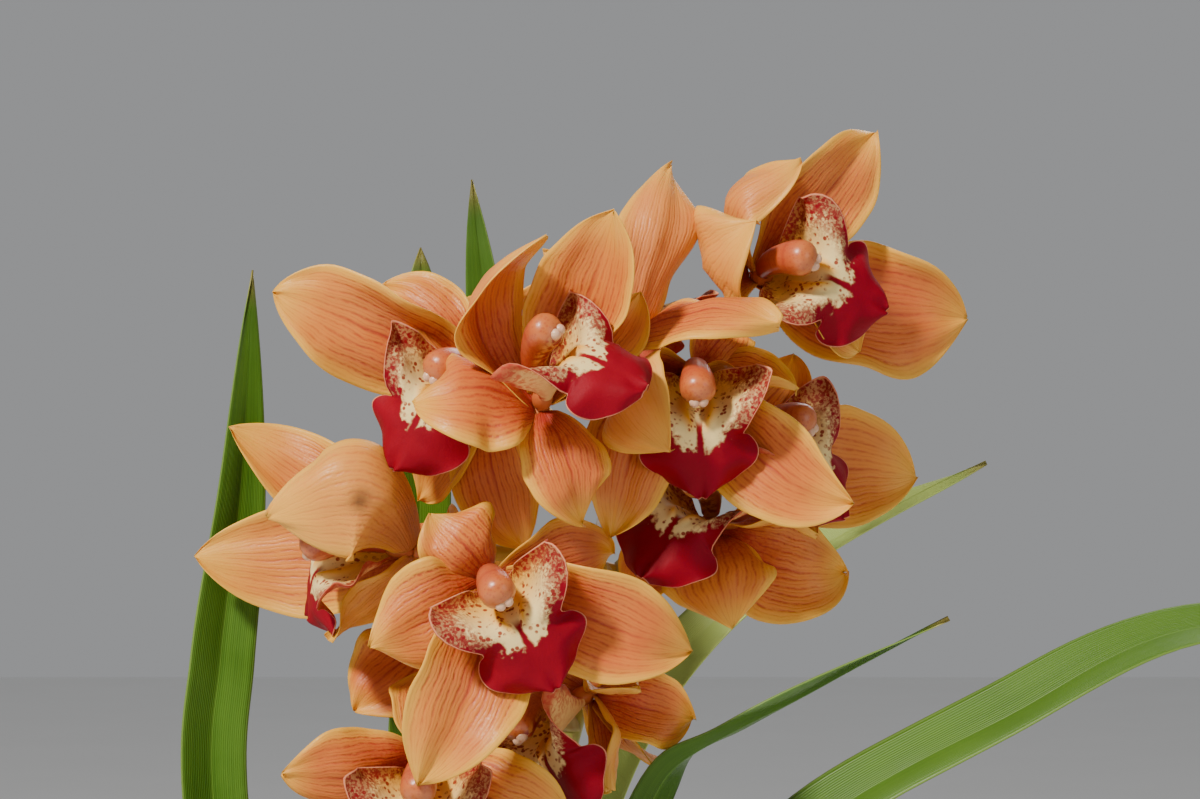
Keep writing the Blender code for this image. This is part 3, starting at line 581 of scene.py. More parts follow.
def tepal_material():
    """Peach petals with fine red veins, a dark foot, yellow margins and a paler outer face."""
    shade = Shade("petal", 0.46, Specular_IOR_Level=0.30, Subsurface_Weight=0.10, Subsurface_Scale=0.004)
    along, across, tone = shade.attributes("along", "across", "tone")
    inner, stalk, bruise = shade.attributes("inner", "stalk", "bruise")
    edge = shade.size(across)
    where = shade.place(shade.times(across, 0.9), shade.times(along, 2.0), tone)
    wobble = shade.times(shade.minus(shade.grain(where, 3.0), 0.5), 0.16)
    veins = shade.lines(shade.plus(across, wobble), 13.0, 0.26)
    fine = shade.lines(shade.plus(across, wobble), 26.0, 0.26)
    broken = shade.place(shade.times(across, 9.0), shade.times(along, 14.0), tone)
    breaks = shade.step(shade.grain(broken, 2.2, 3.0), 0.34, 0.62, 0.35, 1.0)
    strength = shade.times(breaks, shade.step(along, 0.99, 0.40, 0.25, 1.0))
    strength = shade.times(strength, shade.step(edge, 0.99, 0.80))
    drawn = shade.times(shade.larger(veins, shade.times(fine, 0.40)), strength)
    blotch = shade.grain(shade.ground(), 55.0, 3.0)
    body = shade.blend(shade.step(blotch, 0.30, 0.72), (0.68, 0.180, 0.028), (0.55, 0.105, 0.018))
    body = shade.blend(shade.times(tone, 0.60), body, (0.76, 0.32, 0.035))
    cloud = shade.grain(shade.ground(), 38.0, 3.0)
    rosy = shade.times(shade.step(along, 0.85, 0.10), shade.step(edge, 1.0, 0.2))
    rosy = shade.times(rosy, shade.step(cloud, 0.30, 0.62, 0.35, 1.5))
    body = shade.blend(shade.times(rosy, 0.50), body, (0.50, 0.062, 0.018))
    rim = shade.larger(shade.step(edge, 0.62, 1.0), shade.step(along, 0.74, 1.0, 0.0, 0.9))
    body = shade.blend(shade.times(rim, 0.75), body, (0.86, 0.46, 0.045))
    freckle = shade.step(shade.grain(shade.ground(), 900.0, 3.0), 0.46, 0.62)
    freckle = shade.times(freckle, shade.times(shade.step(along, 0.62, 0.12), rosy))
    body = shade.blend(shade.times(freckle, 0.65), body, (0.44, 0.030, 0.012))
    foot = shade.times(shade.step(along, 0.26, 0.03), shade.step(edge, 1.0, 0.2))
    body = shade.blend(shade.times(foot, 0.85), body, (0.30, 0.014, 0.008))
    midrib = shade.times(shade.step(edge, 0.07, 0.0), shade.step(along, 0.95, 0.3, 0.0, 0.85))
    inside = shade.blend(shade.times(drawn, 0.80), body, (0.38, 0.028, 0.012))
    inside = shade.blend(midrib, inside, (0.36, 0.028, 0.012))
    pale = shade.blend(0.38, body, (0.82, 0.38, 0.075))
    outside = shade.blend(shade.times(drawn, 0.42), pale, (0.48, 0.08, 0.025))
    petal = shade.blend(inner, outside, inside)
    spot = shade.times(bruise, shade.step(shade.grain(shade.ground(), 210.0, 3.0), 0.22, 0.46))
    petal = shade.blend(spot, petal, (0.17, 0.065, 0.018))
    green = shade.blend(shade.grain(shade.ground(), 160.0, 3.0), (0.40, 0.33, 0.05), (0.56, 0.29, 0.06))
    cell = shade.grain(shade.ground(), 1500.0, 1.0)
    height = shade.plus(shade.times(drawn, -0.55), shade.times(cell, 0.18))
    roughness = shade.step(cell, 0.3, 0.7, 0.38, 0.54)
    return shade.finish(shade.blend(stalk, petal, green), height, 0.0003, roughness)


def lip_material():
    """A velvety red mid lobe with a thin pale margin, and a cream throat with maroon speckles."""
    shade = Shade("lip", 0.58, Specular_IOR_Level=0.12, Subsurface_Weight=0.06, Subsurface_Scale=0.003)
    along, across, inner, keel, rim = shade.attributes("along", "across", "inner", "keel", "rim")
    edge = shade.size(across)
    where = shade.ground()
    ragged = shade.minus(shade.grain(where, 420.0, 3.0), 0.5)
    coarse = shade.minus(shade.grain(where, 200.0, 2.0), 0.5)
    cream = shade.blend(shade.step(along, 0.10, 0.50), (0.78, 0.42, 0.06), (0.84, 0.62, 0.26))
    reach = shade.plus(along, shade.times(edge, 0.22))
    reach = shade.plus(reach, shade.times(coarse, 0.14))
    lobe = shade.step(shade.plus(reach, shade.times(ragged, 0.16)), 0.655, 0.695)
    band = shade.plus(edge, shade.times(ragged, 0.62))
    flank = shade.times(shade.step(band, 0.62, 0.80), shade.step(along, 0.0, 0.18, 0.4, 0.90))
    mottle = shade.step(shade.grain(where, 1100.0, 3.0), 0.40, 0.58)
    mottle = shade.times(mottle, shade.step(edge, 0.40, 0.85, 0.0, 0.95))
    flank = shade.times(shade.larger(flank, mottle), shade.step(mottle, 0.0, 0.8, 0.72, 1.0))
    red = shade.blend(shade.grain(where, 90.0, 3.0), (0.31, 0.0, 0.012), (0.16, 0.0, 0.006))
    dots = shade.step(shade.cells(where, 560.0), 0.44, 0.30)
    dots = shade.times(dots, shade.step(shade.grain(where, 230.0, 2.0), 0.42, 0.56))
    dots = shade.times(dots, shade.step(along, 0.02, 0.20, 0.35, 1.0))
    throat = shade.blend(shade.times(dots, 0.9), cream, (0.24, 0.004, 0.006))
    line = shade.plus(edge, shade.times(ragged, 0.08))
    stripe = shade.times(shade.step(line, 0.09, 0.04), shade.step(along, 0.42, 0.50))
    painted = shade.larger(shade.larger(lobe, flank), stripe)
    inside = shade.blend(painted, throat, red)
    ridge = shade.blend(shade.times(dots, 0.9), (0.80, 0.34, 0.02), (0.26, 0.01, 0.006))
    inside = shade.blend(keel, inside, ridge)
    inside = shade.blend(shade.times(shade.step(rim, 0.978, 0.990), 0.85), inside, (0.78, 0.30, 0.16))
    faded = shade.plus(rim, shade.times(ragged, 0.16))
    blush = shade.step(shade.grain(where, 700.0, 3.0), 0.42, 0.60, 0.0, 0.75)
    blush = shade.times(blush, shade.step(edge, 0.25, 0.80))
    back = shade.blend(blush, (0.80, 0.44, 0.14), (0.55, 0.07, 0.035))
    back = shade.blend(shade.step(faded, 0.74, 0.92, 0.0, 0.80), back, (0.40, 0.02, 0.015))
    back = shade.blend(shade.step(along, 0.54, 0.70, 0.0, 0.80), back, (0.32, 0.008, 0.008))
    height = shade.plus(shade.grain(where, 900.0, 2.0), shade.times(coarse, 0.8))
    return shade.finish(shade.blend(inner, back, inside), height, 0.00010)


def column_material():
    """A waxy column, peach above and maroon below, with a pinkish white cap."""
    shade = Shade("column", 0.34, Coat_Weight=0.12, Coat_Roughness=0.3, Subsurface_Weight=0.1,
                  Subsurface_Scale=0.003)
    along, belly, cap = shade.attributes("along", "belly", "cap")
    where = shade.ground()
    dots = shade.step(shade.cells(where, 900.0), 0.42, 0.26)
    back = shade.blend(shade.step(along, 0.15, 0.62), (0.34, 0.035, 0.014), (0.50, 0.095, 0.026))
    streak = shade.grain(shade.place(shade.times(along, 3.0), shade.times(belly, 9.0)), 4.0, 3.0)
    back = shade.blend(shade.step(streak, 0.45, 0.65, 0.0, 0.5), back, (0.34, 0.03, 0.014))
    back = shade.blend(shade.step(along, 0.72, 0.98, 0.0, 0.45), back, (0.64, 0.21, 0.035))
    back = shade.blend(shade.times(dots, 0.30), back, (0.34, 0.015, 0.01))
    mottle = shade.step(shade.grain(where, 500.0, 2.0), 0.40, 0.60)
    front = shade.blend(mottle, (0.56, 0.22, 0.05), (0.25, 0.006, 0.01))
    colour = shade.blend(shade.step(belly, 0.15, 0.65), back, front)
    pinkish = shade.blend(shade.grain(where, 400.0), (0.66, 0.32, 0.20), (0.74, 0.48, 0.28))
    colour = shade.blend(cap, colour, pinkish)
    return shade.finish(colour, shade.grain(where, 800.0, 2.0), 0.0001)


def leaf_material():
    """Strap leaves with fine lengthwise veins, a pale keel and a little mottling."""
    shade = Shade("leaf", 0.42, Specular_IOR_Level=0.35)
    along, across, tone = shade.attributes("along", "across", "tone")
    edge = shade.size(across)
    blotch = shade.grain(shade.ground(), 26.0, 4.0)
    streak = shade.grain(shade.place(shade.times(across, 16.0), along, tone), 2.5, 3.0)
    colour = shade.blend(shade.step(blotch, 0.30, 0.70), (0.026, 0.085, 0.003), (0.058, 0.145, 0.006))
    colour = shade.blend(shade.step(streak, 0.35, 0.70, 0.0, 0.5), colour, (0.090, 0.20, 0.012))
    colour = shade.blend(shade.times(tone, 0.5), colour, (0.12, 0.235, 0.012))
    veins = shade.lines(across, 34.0, 0.34)
    colour = shade.blend(shade.times(veins, 0.22), colour, (0.014, 0.050, 0.002))
    colour = shade.blend(shade.step(edge, 0.05, 0.0, 0.0, 0.5), colour, (0.13, 0.25, 0.028))
    colour = shade.blend(shade.step(edge, 0.94, 1.0, 0.0, 0.45), colour, (0.26, 0.38, 0.07))
    colour = shade.blend(shade.times(shade.attribute("pale"), 0.75), colour, (0.40, 0.50, 0.12))
    colour = shade.blend(shade.step(along, 0.965, 1.0, 0.0, 0.7), colour, (0.34, 0.24, 0.06))
    colour = shade.blend(shade.step(along, 0.12, 0.0, 0.0, 0.6), colour, (0.32, 0.36, 0.10))
    roughness = shade.step(blotch, 0.3, 0.7, 0.33, 0.48)
    return shade.finish(colour, shade.times(veins, -1.0), 0.00012, roughness)


def stem_material():
    shade = Shade("stem", 0.42, Coat_Weight=0.1, Coat_Roughness=0.3)
    along, papery = shade.attributes("along", "papery")
    speckle = shade.grain(shade.ground(), 420.0, 3.0)
    colour = shade.blend(shade.grain(shade.ground(), 60.0, 3.0), (0.30, 0.34, 0.06), (0.46, 0.44, 0.12))
    colour = shade.blend(shade.step(speckle, 0.56, 0.66, 0.0, 0.4), colour, (0.36, 0.14, 0.06))
    colour = shade.blend(shade.step(along, 0.35, 0.0, 0.0, 0.6), colour, (0.14, 0.24, 0.04))
    dry = shade.blend(speckle, (0.50, 0.38, 0.16), (0.36, 0.24, 0.10))
    return shade.finish(shade.blend(papery, colour, dry), speckle, 0.00015)


def bulb_material():
    """Ribbed bulbs with a dry papery sheath round the lower part."""
    shade = Shade("bulb", 0.48)
    along, rib = shade.attributes("along", "rib")
    where = shade.ground()
    fibre = shade.grain(where, 240.0, 4.0)
    colour = shade.blend(shade.grain(where, 60.0, 3.0), (0.17, 0.27, 0.05), (0.34, 0.40, 0.10))
    colour = shade.blend(shade.times(rib, 0.4), colour, (0.10, 0.16, 0.03))
    sheath = shade.blend(fibre, (0.34, 0.22, 0.10), (0.58, 0.44, 0.24))
    ragged = shade.plus(along, shade.times(shade.grain(where, 90.0, 4.0), 0.5))
    colour = shade.blend(shade.step(ragged, 0.86, 0.66), colour, sheath)
    return shade.finish(colour, fibre, 0.0004)


def stake_material():
    shade = Shade("stake", 0.52)
    where = shade.ground()
    long_grain = shade.grain(where, 900.0, 2.0)
    colour = shade.blend(shade.grain(where, 60.0, 3.0), (0.27, 0.28, 0.27), (0.38, 0.38, 0.36))
    colour = shade.blend(shade.step(long_grain, 0.60, 0.72, 0.0, 0.5), colour, (0.52, 0.51, 0.48))
    return shade.finish(colour, long_grain, 0.0001, shade.step(long_grain, 0.3, 0.7, 0.42, 0.60))


def clip_material():
    shade = Shade("clip", 0.38)
    grain = shade.grain(shade.ground(), 1400.0, 2.0)
    colour = shade.blend(shade.grain(shade.ground(), 120.0), (0.03, 0.13, 0.045), (0.05, 0.18, 0.07))
    return shade.finish(colour, grain, 0.00005, shade.step(grain, 0.3, 0.7, 0.32, 0.46))


def bark_material():
    shade = Shade("bark", 0.88)
    tone = shade.attribute("tone")
    where = shade.ground()
    fibre = shade.grain(where, 330.0, 5.0, 0.65)
    colour = shade.blend(tone, (0.10, 0.045, 0.022), (0.34, 0.17, 0.085))
    colour = shade.blend(shade.step(fibre, 0.38, 0.68), colour, (0.06, 0.028, 0.016))
    worn = shade.step(shade.grain(where, 90.0, 2.0), 0.60, 0.74, 0.0, 0.5)
    colour = shade.blend(worn, colour, (0.46, 0.30, 0.17))
    return shade.finish(colour, fibre, 0.0012)


def pot_material():
    """A matt moulded nursery pot: fine moulding grain, faint scuffs and a little dust."""
    shade = Shade("pot", 0.50)
    where = shade.ground()
    grain = shade.grain(where, 1300.0, 2.0)
    scuffs = shade.grain(where, 38.0, 6.0, 0.7)
    colour = shade.blend(shade.step(scuffs, 0.35, 0.75), (0.115, 0.045, 0.026), (0.175, 0.078, 0.046))
    colour = shade.blend(shade.step(scuffs, 0.66, 0.80, 0.0, 0.4), colour, (0.34, 0.22, 0.16))
    return shade.finish(colour, grain, 0.00012, shade.step(scuffs, 0.3, 0.7, 0.42, 0.62))


# --- Flowers ------------------------------------------------------------------------------------------

def tepal_outline(s, taper):
    """Share of the full width: a narrow foot, round shoulders and an end that taper sharpens."""
    foot = 0.30
    widest = 0.54
    if s < widest:
        return 1.0 - (1.0 - foot) * (1.0 - s / widest) ** 2.1
    past = (s - widest) / (1.0 - widest)
    return max((1.0 - past ** 2.3) ** taper, 0.012)


def tepal_surface(hub, facing, spec, draw):
    """The middle of one tepal, with its crease, its waved margins and a tip that bends a little."""
    tip = Vector(spec["tip"]) * MM
    side_of_hub = Vector(spec["root"] or spec["tip"])
    side_of_hub = (side_of_hub - facing * side_of_hub.dot(facing)).normalized()
    foot = hub + side_of_hub * HUB_RADIUS * 0.65 - facing * HUB_RADIUS * 0.35
    chord = hub + tip - foot
    heading = chord.normalized()
    face = Vector(spec["face"]) if spec["face"] else facing
    face = (face - heading * face.dot(heading)).normalized()
    across = heading.cross(face)
    arch = (face * spec["bow"] + across * spec["sweep"]) * MM
    half = spec["width"] * MM / 2.0
    cup = math.radians(spec["cup"])
    tip_bend = draw.uniform(-0.0055, 0.0035)
    tip_turn = draw.uniform(-0.0035, 0.0035)
    taper = draw.uniform(0.76, 1.02)
    wave_height = draw.uniform(0.0014, 0.0032)
    wave_phase = draw.uniform(0.0, 6.3)
    wave_pace = draw.uniform(6.5, 10.0)
    margin_roll = [draw.uniform(-0.0028, 0.0016) for _ in range(2)]
    seed = Vector((draw.uniform(0.0, 40.0), draw.uniform(0.0, 40.0), 0.0))

    def surface(s, t):
        past = max((s - 0.70) / 0.30, 0.0)
        end = face * tip_bend + across * tip_turn
        centre = foot + chord * s + arch * 4.0 * s * (1.0 - s) + end * past ** 2
        ahead = chord + arch * 4.0 * (1.0 - 2.0 * s) + end * 2.0 * past / 0.30
        ahead.normalize()
        up = (face - ahead * face.dot(ahead)).normalized()
        side = ahead.cross(up)
        scallop = 1.0 + 0.07 * noise.noise(seed + Vector((5.0 * s, math.copysign(9.0, t), 1.0)))
        reach = half * tepal_outline(s, taper) * scallop * t
        bend = cup * t * (1.12 - 0.35 * s)
        place, normal = rolled(centre, side, up, reach, bend)
        crease = -0.0011 * math.exp(-(t / 0.12) ** 2) * (1.0 - 0.75 * s) * ease(s / 0.15)
        away = ease((abs(t) - 0.35) / 0.65)
        grown = ease(s / 0.35)
        uneven = 1.0 + 0.8 * noise.noise(seed + Vector((3.0 * s, math.copysign(5.0, t), 7.0)))
        wave = wave_height * away * math.sin(wave_phase + wave_pace * s + math.copysign(1.3, t)) * uneven
        curl = ease((abs(t) - 0.55) / 0.45) * math.sin(math.pi * min(s, 1.0))
        roll = margin_roll[0 if t < 0.0 else 1] * curl
        swell = 0.0020 * noise.noise(seed + Vector((2.6 * s, 1.5 * t, 0.0)))
        pucker = 0.00035 * noise.noise(seed + Vector((9.0 * s, 6.0 * t, 3.0)))
        return place + normal * (crease + (wave + roll + swell + pucker) * grown), normal

    return surface


def add_tepal(pile, hub, facing, spec, draw, bruised=False):
    tone = 1.0 if bruised else draw.random()
    surface = tepal_surface(hub, facing, spec, draw)

    def thickness(s, t):
        thin = max(abs(t) ** 3, s ** 8)
        return TEPAL_THICKNESS + (TEPAL_MARGIN - TEPAL_THICKNESS) * thin

    def describe(s, t, inner):
        values = dict(along=s, across=t, tone=tone, inner=inner)
        if bruised:
            values["bruise"] = math.exp(-((s - 0.52) / 0.07) ** 2 - ((t - 0.10) / 0.16) ** 2)
        return values

    stations = [ease(u) * 0.35 + u * 0.65 for u in spread(33)]
    columns = margin_spread(21)
    add_sheet(pile, stations, columns, surface, thickness, describe)


def flower_axes(spec):
    """Facing, dorsal and sideways directions of a flower."""
    facing = Vector(spec["facing"]).normalized()
    hang = Vector(spec["lip"])
    dorsal = -(hang - facing * hang.dot(facing)).normalized()
    return facing, dorsal, dorsal.cross(facing)


def lip_width(s):
    """Half the lip's width at a station, on a smooth line through the points of its outline."""
    if s < 0.0:
        return LIP_HALF_WIDTH * (LIP_OUTLINE[0][1] + 1.4 * s)
    k = 0
    while k < len(LIP_OUTLINE) - 2 and s > LIP_OUTLINE[k + 1][0]:
        k += 1
    (low, narrow), (high, wide) = LIP_OUTLINE[k], LIP_OUTLINE[k + 1]
    before = LIP_OUTLINE[max(k - 1, 0)]
    after = LIP_OUTLINE[min(k + 2, len(LIP_OUTLINE) - 1)]
    span = high - low
    u = min((s - low) / span, 1.0)
    rise = (wide - before[1]) / (high - before[0]) * span
    fall = (after[1] - narrow) / (after[0] - low) * span
    value = (narrow * (2 * u ** 3 - 3 * u ** 2 + 1) + rise * (u ** 3 - 2 * u ** 2 + u)
             + wide * (3 * u ** 2 - 2 * u ** 3) + fall * (u ** 3 - u ** 2))
    return LIP_HALF_WIDTH * max(value, 0.06)


def lip_surface(hub, axes, draw):
    """A trough with raised side lobes about the column, then a broad ruffled lobe that turns down."""
    facing, dorsal, side = axes
    start = hub + facing * (HUB_RADIUS + LIP_START[0]) + dorsal * LIP_START[1]
    phase = draw.uniform(0.0, 6.3)
    lean = draw.uniform(-0.10, 0.10)
    pieces = 96

    def slope(s):
        return math.radians(-14.0 - 16.0 * s - 66.0 * ease((s - 0.38) / 0.24))

    middle = [start]
    for k in range(pieces):
        here = slope((k + 0.5) / pieces)
        middle.append(middle[-1] + (facing * math.cos(here) + dorsal * math.sin(here)) * LIP_LENGTH / pieces)

    def surface(s, t):
        spot = max(s, 0.0) * pieces
        k = min(int(spot), pieces - 1)
        centre = middle[k].lerp(middle[k + 1], spot - k) + (middle[1] - middle[0]) * min(s, 0.0) * pieces
        angle = slope(max(s, 0.0))
        up = dorsal * math.cos(angle) - facing * math.sin(angle)
        cup = math.radians(86.0 - 110.0 * ease((s - 0.40) / 0.22))
        place, normal = rolled(centre, side, up, lip_width(s) * t, cup * t)
        lobe = ease((s - 0.50) / 0.12)
        about = math.atan2(t, (s - 0.76) * 2.6)
        calm = 1.0 - 0.6 * ease((s - 0.8) / 0.2)
        ruffle = 0.0020 * rim_share(s, t) ** 3 * math.sin(6.0 * about + phase) * lobe * calm
        droop = -0.0030 * lobe * ease((abs(t) - 0.30) / 0.70) * (1.0 + lean * math.copysign(1.0, t))
        frill = 0.0017 * abs(t) ** 4 * math.sin(31.0 * s + phase) * (1.0 - lobe) * ease(s / 0.15)
        flare = -0.0042 * ease((abs(t) - 0.62) / 0.38) * ease((s - 0.10) / 0.20) * (1.0 - lobe)
        keels = 0.0017 * keel_share(s, t)
        crease = -0.0010 * math.exp(-(t / 0.10) ** 2) * lobe * (1.0 - s)
        return place + normal * (ruffle + droop + frill + flare + keels + crease), normal

    return surface


def rim_share(s, t):
    """0 in the middle of the lip and 1 at its margin."""
    return max(abs(t), 1.0 - 4.0 * (1.0 - s) if s > 0.75 else 0.0)


def keel_share(s, t):
    """1 on the two ridges that run down the middle of the lip, and 0 off them."""
    return math.exp(-((abs(t) - 0.17) / 0.075) ** 2) * ease((s - 0.10) / 0.10) * ease((0.56 - s) / 0.10)


def add_lip(pile, hub, axes, draw):
    def thickness(s, t):
        return LIP_THICKNESS + (LIP_MARGIN - LIP_THICKNESS) * rim_share(s, t) ** 3

    def describe(s, t, inner):
        return dict(along=s, across=t, inner=inner, keel=keel_share(s, t) * inner, rim=rim_share(s, t))

    surface = lip_surface(hub, axes, draw)
    add_sheet(pile, spread(61, -0.12, 1.0), margin_spread(41), surface, thickness, describe)


def add_column(pile, hub, axes):
    """The column arches over the lip, is winged near its end, and carries a two-lobed cap below."""
    facing, dorsal, side = axes
    route = [hub + facing * (HUB_RADIUS + COLUMN_START[0]) + dorsal * COLUMN_START[1]]
    pieces = 24
    for k in range(1, pieces + 1):
        angle = math.radians(27.0 - 62.0 * k / pieces)
        step = facing * math.cos(angle) + dorsal * math.sin(angle)
        route.append(route[-1] + step * COLUMN_LENGTH / pieces)

    def radius(u, turn):
        bulge = 0.62 + 0.38 * math.sin(math.pi * min(u * 0.62, 1.0))
        wing = 1.0 + 0.16 * ease((u - 0.45) / 0.35)
        closing = math.sqrt(max(1.0 - max((u - 0.84) / 0.17, 0.0) ** 2, 0.0))
        return COLUMN_RADIUS * bulge * wing * closing

    add_tube(pile, route, radius, 18, lambda u, way: dict(along=u, belly=max(-way.dot(dorsal), 0.0)))
    end_angle = math.radians(27.0 - 62.0)
    ahead = facing * math.cos(end_angle) + dorsal * math.sin(end_angle)
    below = facing * math.sin(end_angle) - dorsal * math.cos(end_angle)
    for way in (-1.0, 1.0):
        centre = route[-2] + side * CAP_LOBE_APART * way + below * 0.0022
        add_ball(pile, centre, (side, below, ahead), (0.0017, 0.0018, 0.0021), dict(along=1.0, cap=1.0))


def cubic(first, second, third, last, pieces):
    """Places along a curve that leaves first towards second and reaches last from third."""
    route = []
    for k in range(pieces + 1):
        u = k / pieces
        route.append(first * (1 - u) ** 3 + second * 3 * u * (1 - u) ** 2
                     + third * 3 * u * u * (1 - u) + last * u ** 3)
    return route


def add_stalk(pile, hub, facing, height, spike):
    """The ribbed ovary behind the flower and the stalk that joins it to the spike."""
    on_spike, radius = spike_at(spike, height)
    back = hub - facing * HUB_RADIUS * 0.5
    outward = back - on_spike
    outward.z = 0.0
    outward = (outward.normalized() + Vector((0.0, 0.0, 0.3))).normalized()
    foot = on_spike + outward * radius * 0.6
    reach = (foot - back).length
    route = cubic(back, back - facing * reach * 0.38, foot + outward * reach * 0.22, foot, 30)

    def girth(u, turn):
        swell = math.sin(math.pi * min(u + 0.25, 1.0))
        ribs = 1.0 + 0.07 * math.cos(6.0 * turn) * swell
        return (PEDICEL_RADIUS + (OVARY_RADIUS - PEDICEL_RADIUS) * swell) * ribs * 0.96

    add_tube(pile, route, girth, 18, lambda u, way: dict(along=0.3, stalk=ease((u - 0.04) / 0.16)))


def spike_route(lift):
    return smooth_route([Vector(point) * MM + lift for point in SPIKE_ROUTE], 12)


def spike_at(spike, height):
    """The spike's centre and radius at a height."""
    for k in range(len(spike) - 1):
        low, high = spike[k], spike[k + 1]
        if low.z <= height <= high.z:
            share = (height - low.z) / (high.z - low.z)
            u = (k + share) / (len(spike) - 1)
            return low.lerp(high, share), SPIKE_FOOT_RADIUS + (SPIKE_TIP_RADIUS - SPIKE_FOOT_RADIUS) * u
    return spike[-1].copy(), SPIKE_TIP_RADIUS


def make_flower(place, spec, lift, spike, looks):
    draw = random.Random(f"flower {place}")
    hub = Vector(spec["hub"]) * MM + lift
    axes = flower_axes(spec)
    facing = axes[0]
    petals = Pile("along", "across", "tone", "inner", "stalk", "bruise")
    for k, tepal_spec in enumerate(spec["tepals"]):
        add_tepal(petals, hub, facing, tepal_spec, draw, (place, k) == BRUISED)
    throat = hub + facing * HUB_RADIUS * 0.5
    add_ball(petals, throat, (axes[1], axes[2], facing), HUB_RADII, dict(along=0.45, tone=0.5, inner=0.5))
    add_stalk(petals, hub, facing, spec["leaves_spike"] * MM + lift.z, spike)
    petals.piece(f"{place}_petals", looks["tepal"], "tepal", f"{place}_flower_tepals")
    lip = Pile("along", "across", "inner", "keel", "rim")
    add_lip(lip, hub, axes, draw)
    lip.piece(f"{place}_lip", looks["lip"], "lip", f"{place}_flower_lip")
    column = Pile("along", "belly", "cap")
    add_column(column, hub, axes)
    column.piece(f"{place}_column", looks["column"], "column", f"{place}_flower_column")


# --- Spike, stake and clips ---------------------------------------------------------------------------

def add_bract(pile, spot, outward, radius, length):
    """A pointed papery sheath that clasps the spike below a flower's stalk."""
    side = Vector((-outward.y, outward.x, 0.0)).normalized()

    def surface(s, t):
        open_out = 0.35 * s
        wrap = math.radians(105.0) * t * (1.0 - 0.45 * s) * (1.0 - s ** 2.2) ** 0.6
        way = outward * math.cos(wrap) + side * math.sin(wrap)
        place = spot + Vector((0.0, 0.0, length * s)) + way * (radius + 0.0004 + length * open_out * s * 0.5)
        return place, way

    def describe(s, t, inner):
        return dict(along=0.7, papery=0.55 + 0.45 * s)

    add_sheet(pile, spread(9, 0.0, 0.98), spread(9, -1.0, 1.0), surface, lambda s, t: 0.0003, describe)


def make_spike(lift, spike, looks):
    pile = Pile("along", "papery")

    def radius(u, turn):
        swell = 1.0 + 0.03 * math.sin(3.0 * turn + 9.0 * u)
        return (SPIKE_FOOT_RADIUS + (SPIKE_TIP_RADIUS - SPIKE_FOOT_RADIUS) * u) * swell

    add_tube(pile, spike, radius, 20, lambda u, way: dict(along=u))
    for spec in FLOWERS.values():
        height = spec["leaves_spike"] * MM + lift.z
        spot, girth = spike_at(spike, height - 0.004)
        outward = Vector(spec["hub"]) * MM + lift - spot
        outward.z = 0.0
        add_bract(pile, spot, outward.normalized(), girth, FLOWER_BRACT)
    for height, heading in BARE_BRACTS:
        spot, girth = spike_at(spike, height + lift.z)
        add_bract(pile, spot, level_way(heading), girth, BARE_BRACT)
    pile.piece("spike_stem", looks["stem"], "stem", "flower_spike")


def make_stake(looks):
    """A round stake, with rings moulded round it and a rounded top, in the CAD stake's place."""
    low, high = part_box("support_stake")
    radius = STAKE_RADIUS
    middle = (low + high) / 2.0
    half = (high.z - low.z) / 2.0 - radius * 0.3
    start = middle - STAKE_LEAN * half
    end = middle + STAKE_LEAN * half
    route = [start.lerp(end, u) for u in spread(261)]
    pile = Pile("along")

    def girth(u, turn):
        ring = 0.00012 * math.exp(-((math.fmod(u * 14.0, 1.0) - 0.5) / 0.03) ** 2)
        top = math.sqrt(max(1.0 - max((u - 0.994) / 0.006, 0.0) ** 2, 0.01))
        return (radius + ring) * top

    add_tube(pile, route, girth, 20, lambda u, way: dict(along=u))
    pile.piece("stake_rod", looks["stake"], "stake", "support_stake")


def make_clip(place, spike, looks):
    """A moulded band about the spike and the stake, with rounded edges and a hinge bead."""
    node = f"stake_clip_{place}"
    low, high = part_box(node)
    height = (low.z + high.z) / 2.0
    stake_low, stake_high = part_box("support_stake")
    middle = (stake_low + stake_high) / 2.0
    stake = middle + STAKE_LEAN * (height - middle.z)
    on_spike, girth = spike_at(spike, height)
    apart = on_spike - stake
    heading = math.atan2(apart.y, apart.x)
    outline = []
    for centre, radius, start in ((on_spike, girth, -90.0), (stake, STAKE_RADIUS, 90.0)):
        for k in range(13):
            turn = heading + math.radians(start + 180.0 * k / 12.0)
            outline.append((centre, radius + CLIP_SLACK, level_way(turn)))
    section = []
    for turn in turns(12):
        across = math.copysign(abs(math.cos(turn)) ** 0.5, math.cos(turn))
        across = CLIP_HALF_THICKNESS + CLIP_HALF_THICKNESS * across
        level = CLIP_HALF_HEIGHT * math.copysign(abs(math.sin(turn)) ** 0.5, math.sin(turn))
        section.append((across, level))
    pile = Pile("along")
    rings = []
    for centre, radius, way in outline:
        ring = []
        for across, level in section:
            spot = Vector((centre.x, centre.y, height + level)) + way * (radius + across)
            ring.append(pile.point(spot))
        rings.append(ring)
    pile.wall(rings + rings[:1])
    bead = stake + (stake - on_spike).normalized() * BEAD_OUT
    upright = [Vector((bead.x, bead.y, height + level)) for level in spread(9, -0.0024, 0.0024)]

    def bead_radius(u, turn):
        return BEAD_RADIUS * math.sin(math.pi * (0.12 + 0.76 * u)) ** 0.3

    add_tube(pile, upright, bead_radius, 12, lambda u, way: dict(along=u))
    pile.piece(f"{place}_clip", looks["clip"], "clip", node)


# --- Leaves and bulbs ---------------------------------------------------------------------------------

def leaf_outline(s, point):
    grow = 0.42 + 0.58 * ease(s / 0.35)
    past = max((s - 0.50) / 0.50, 0.0)
    return grow * max((1.0 - past ** point), 0.012)


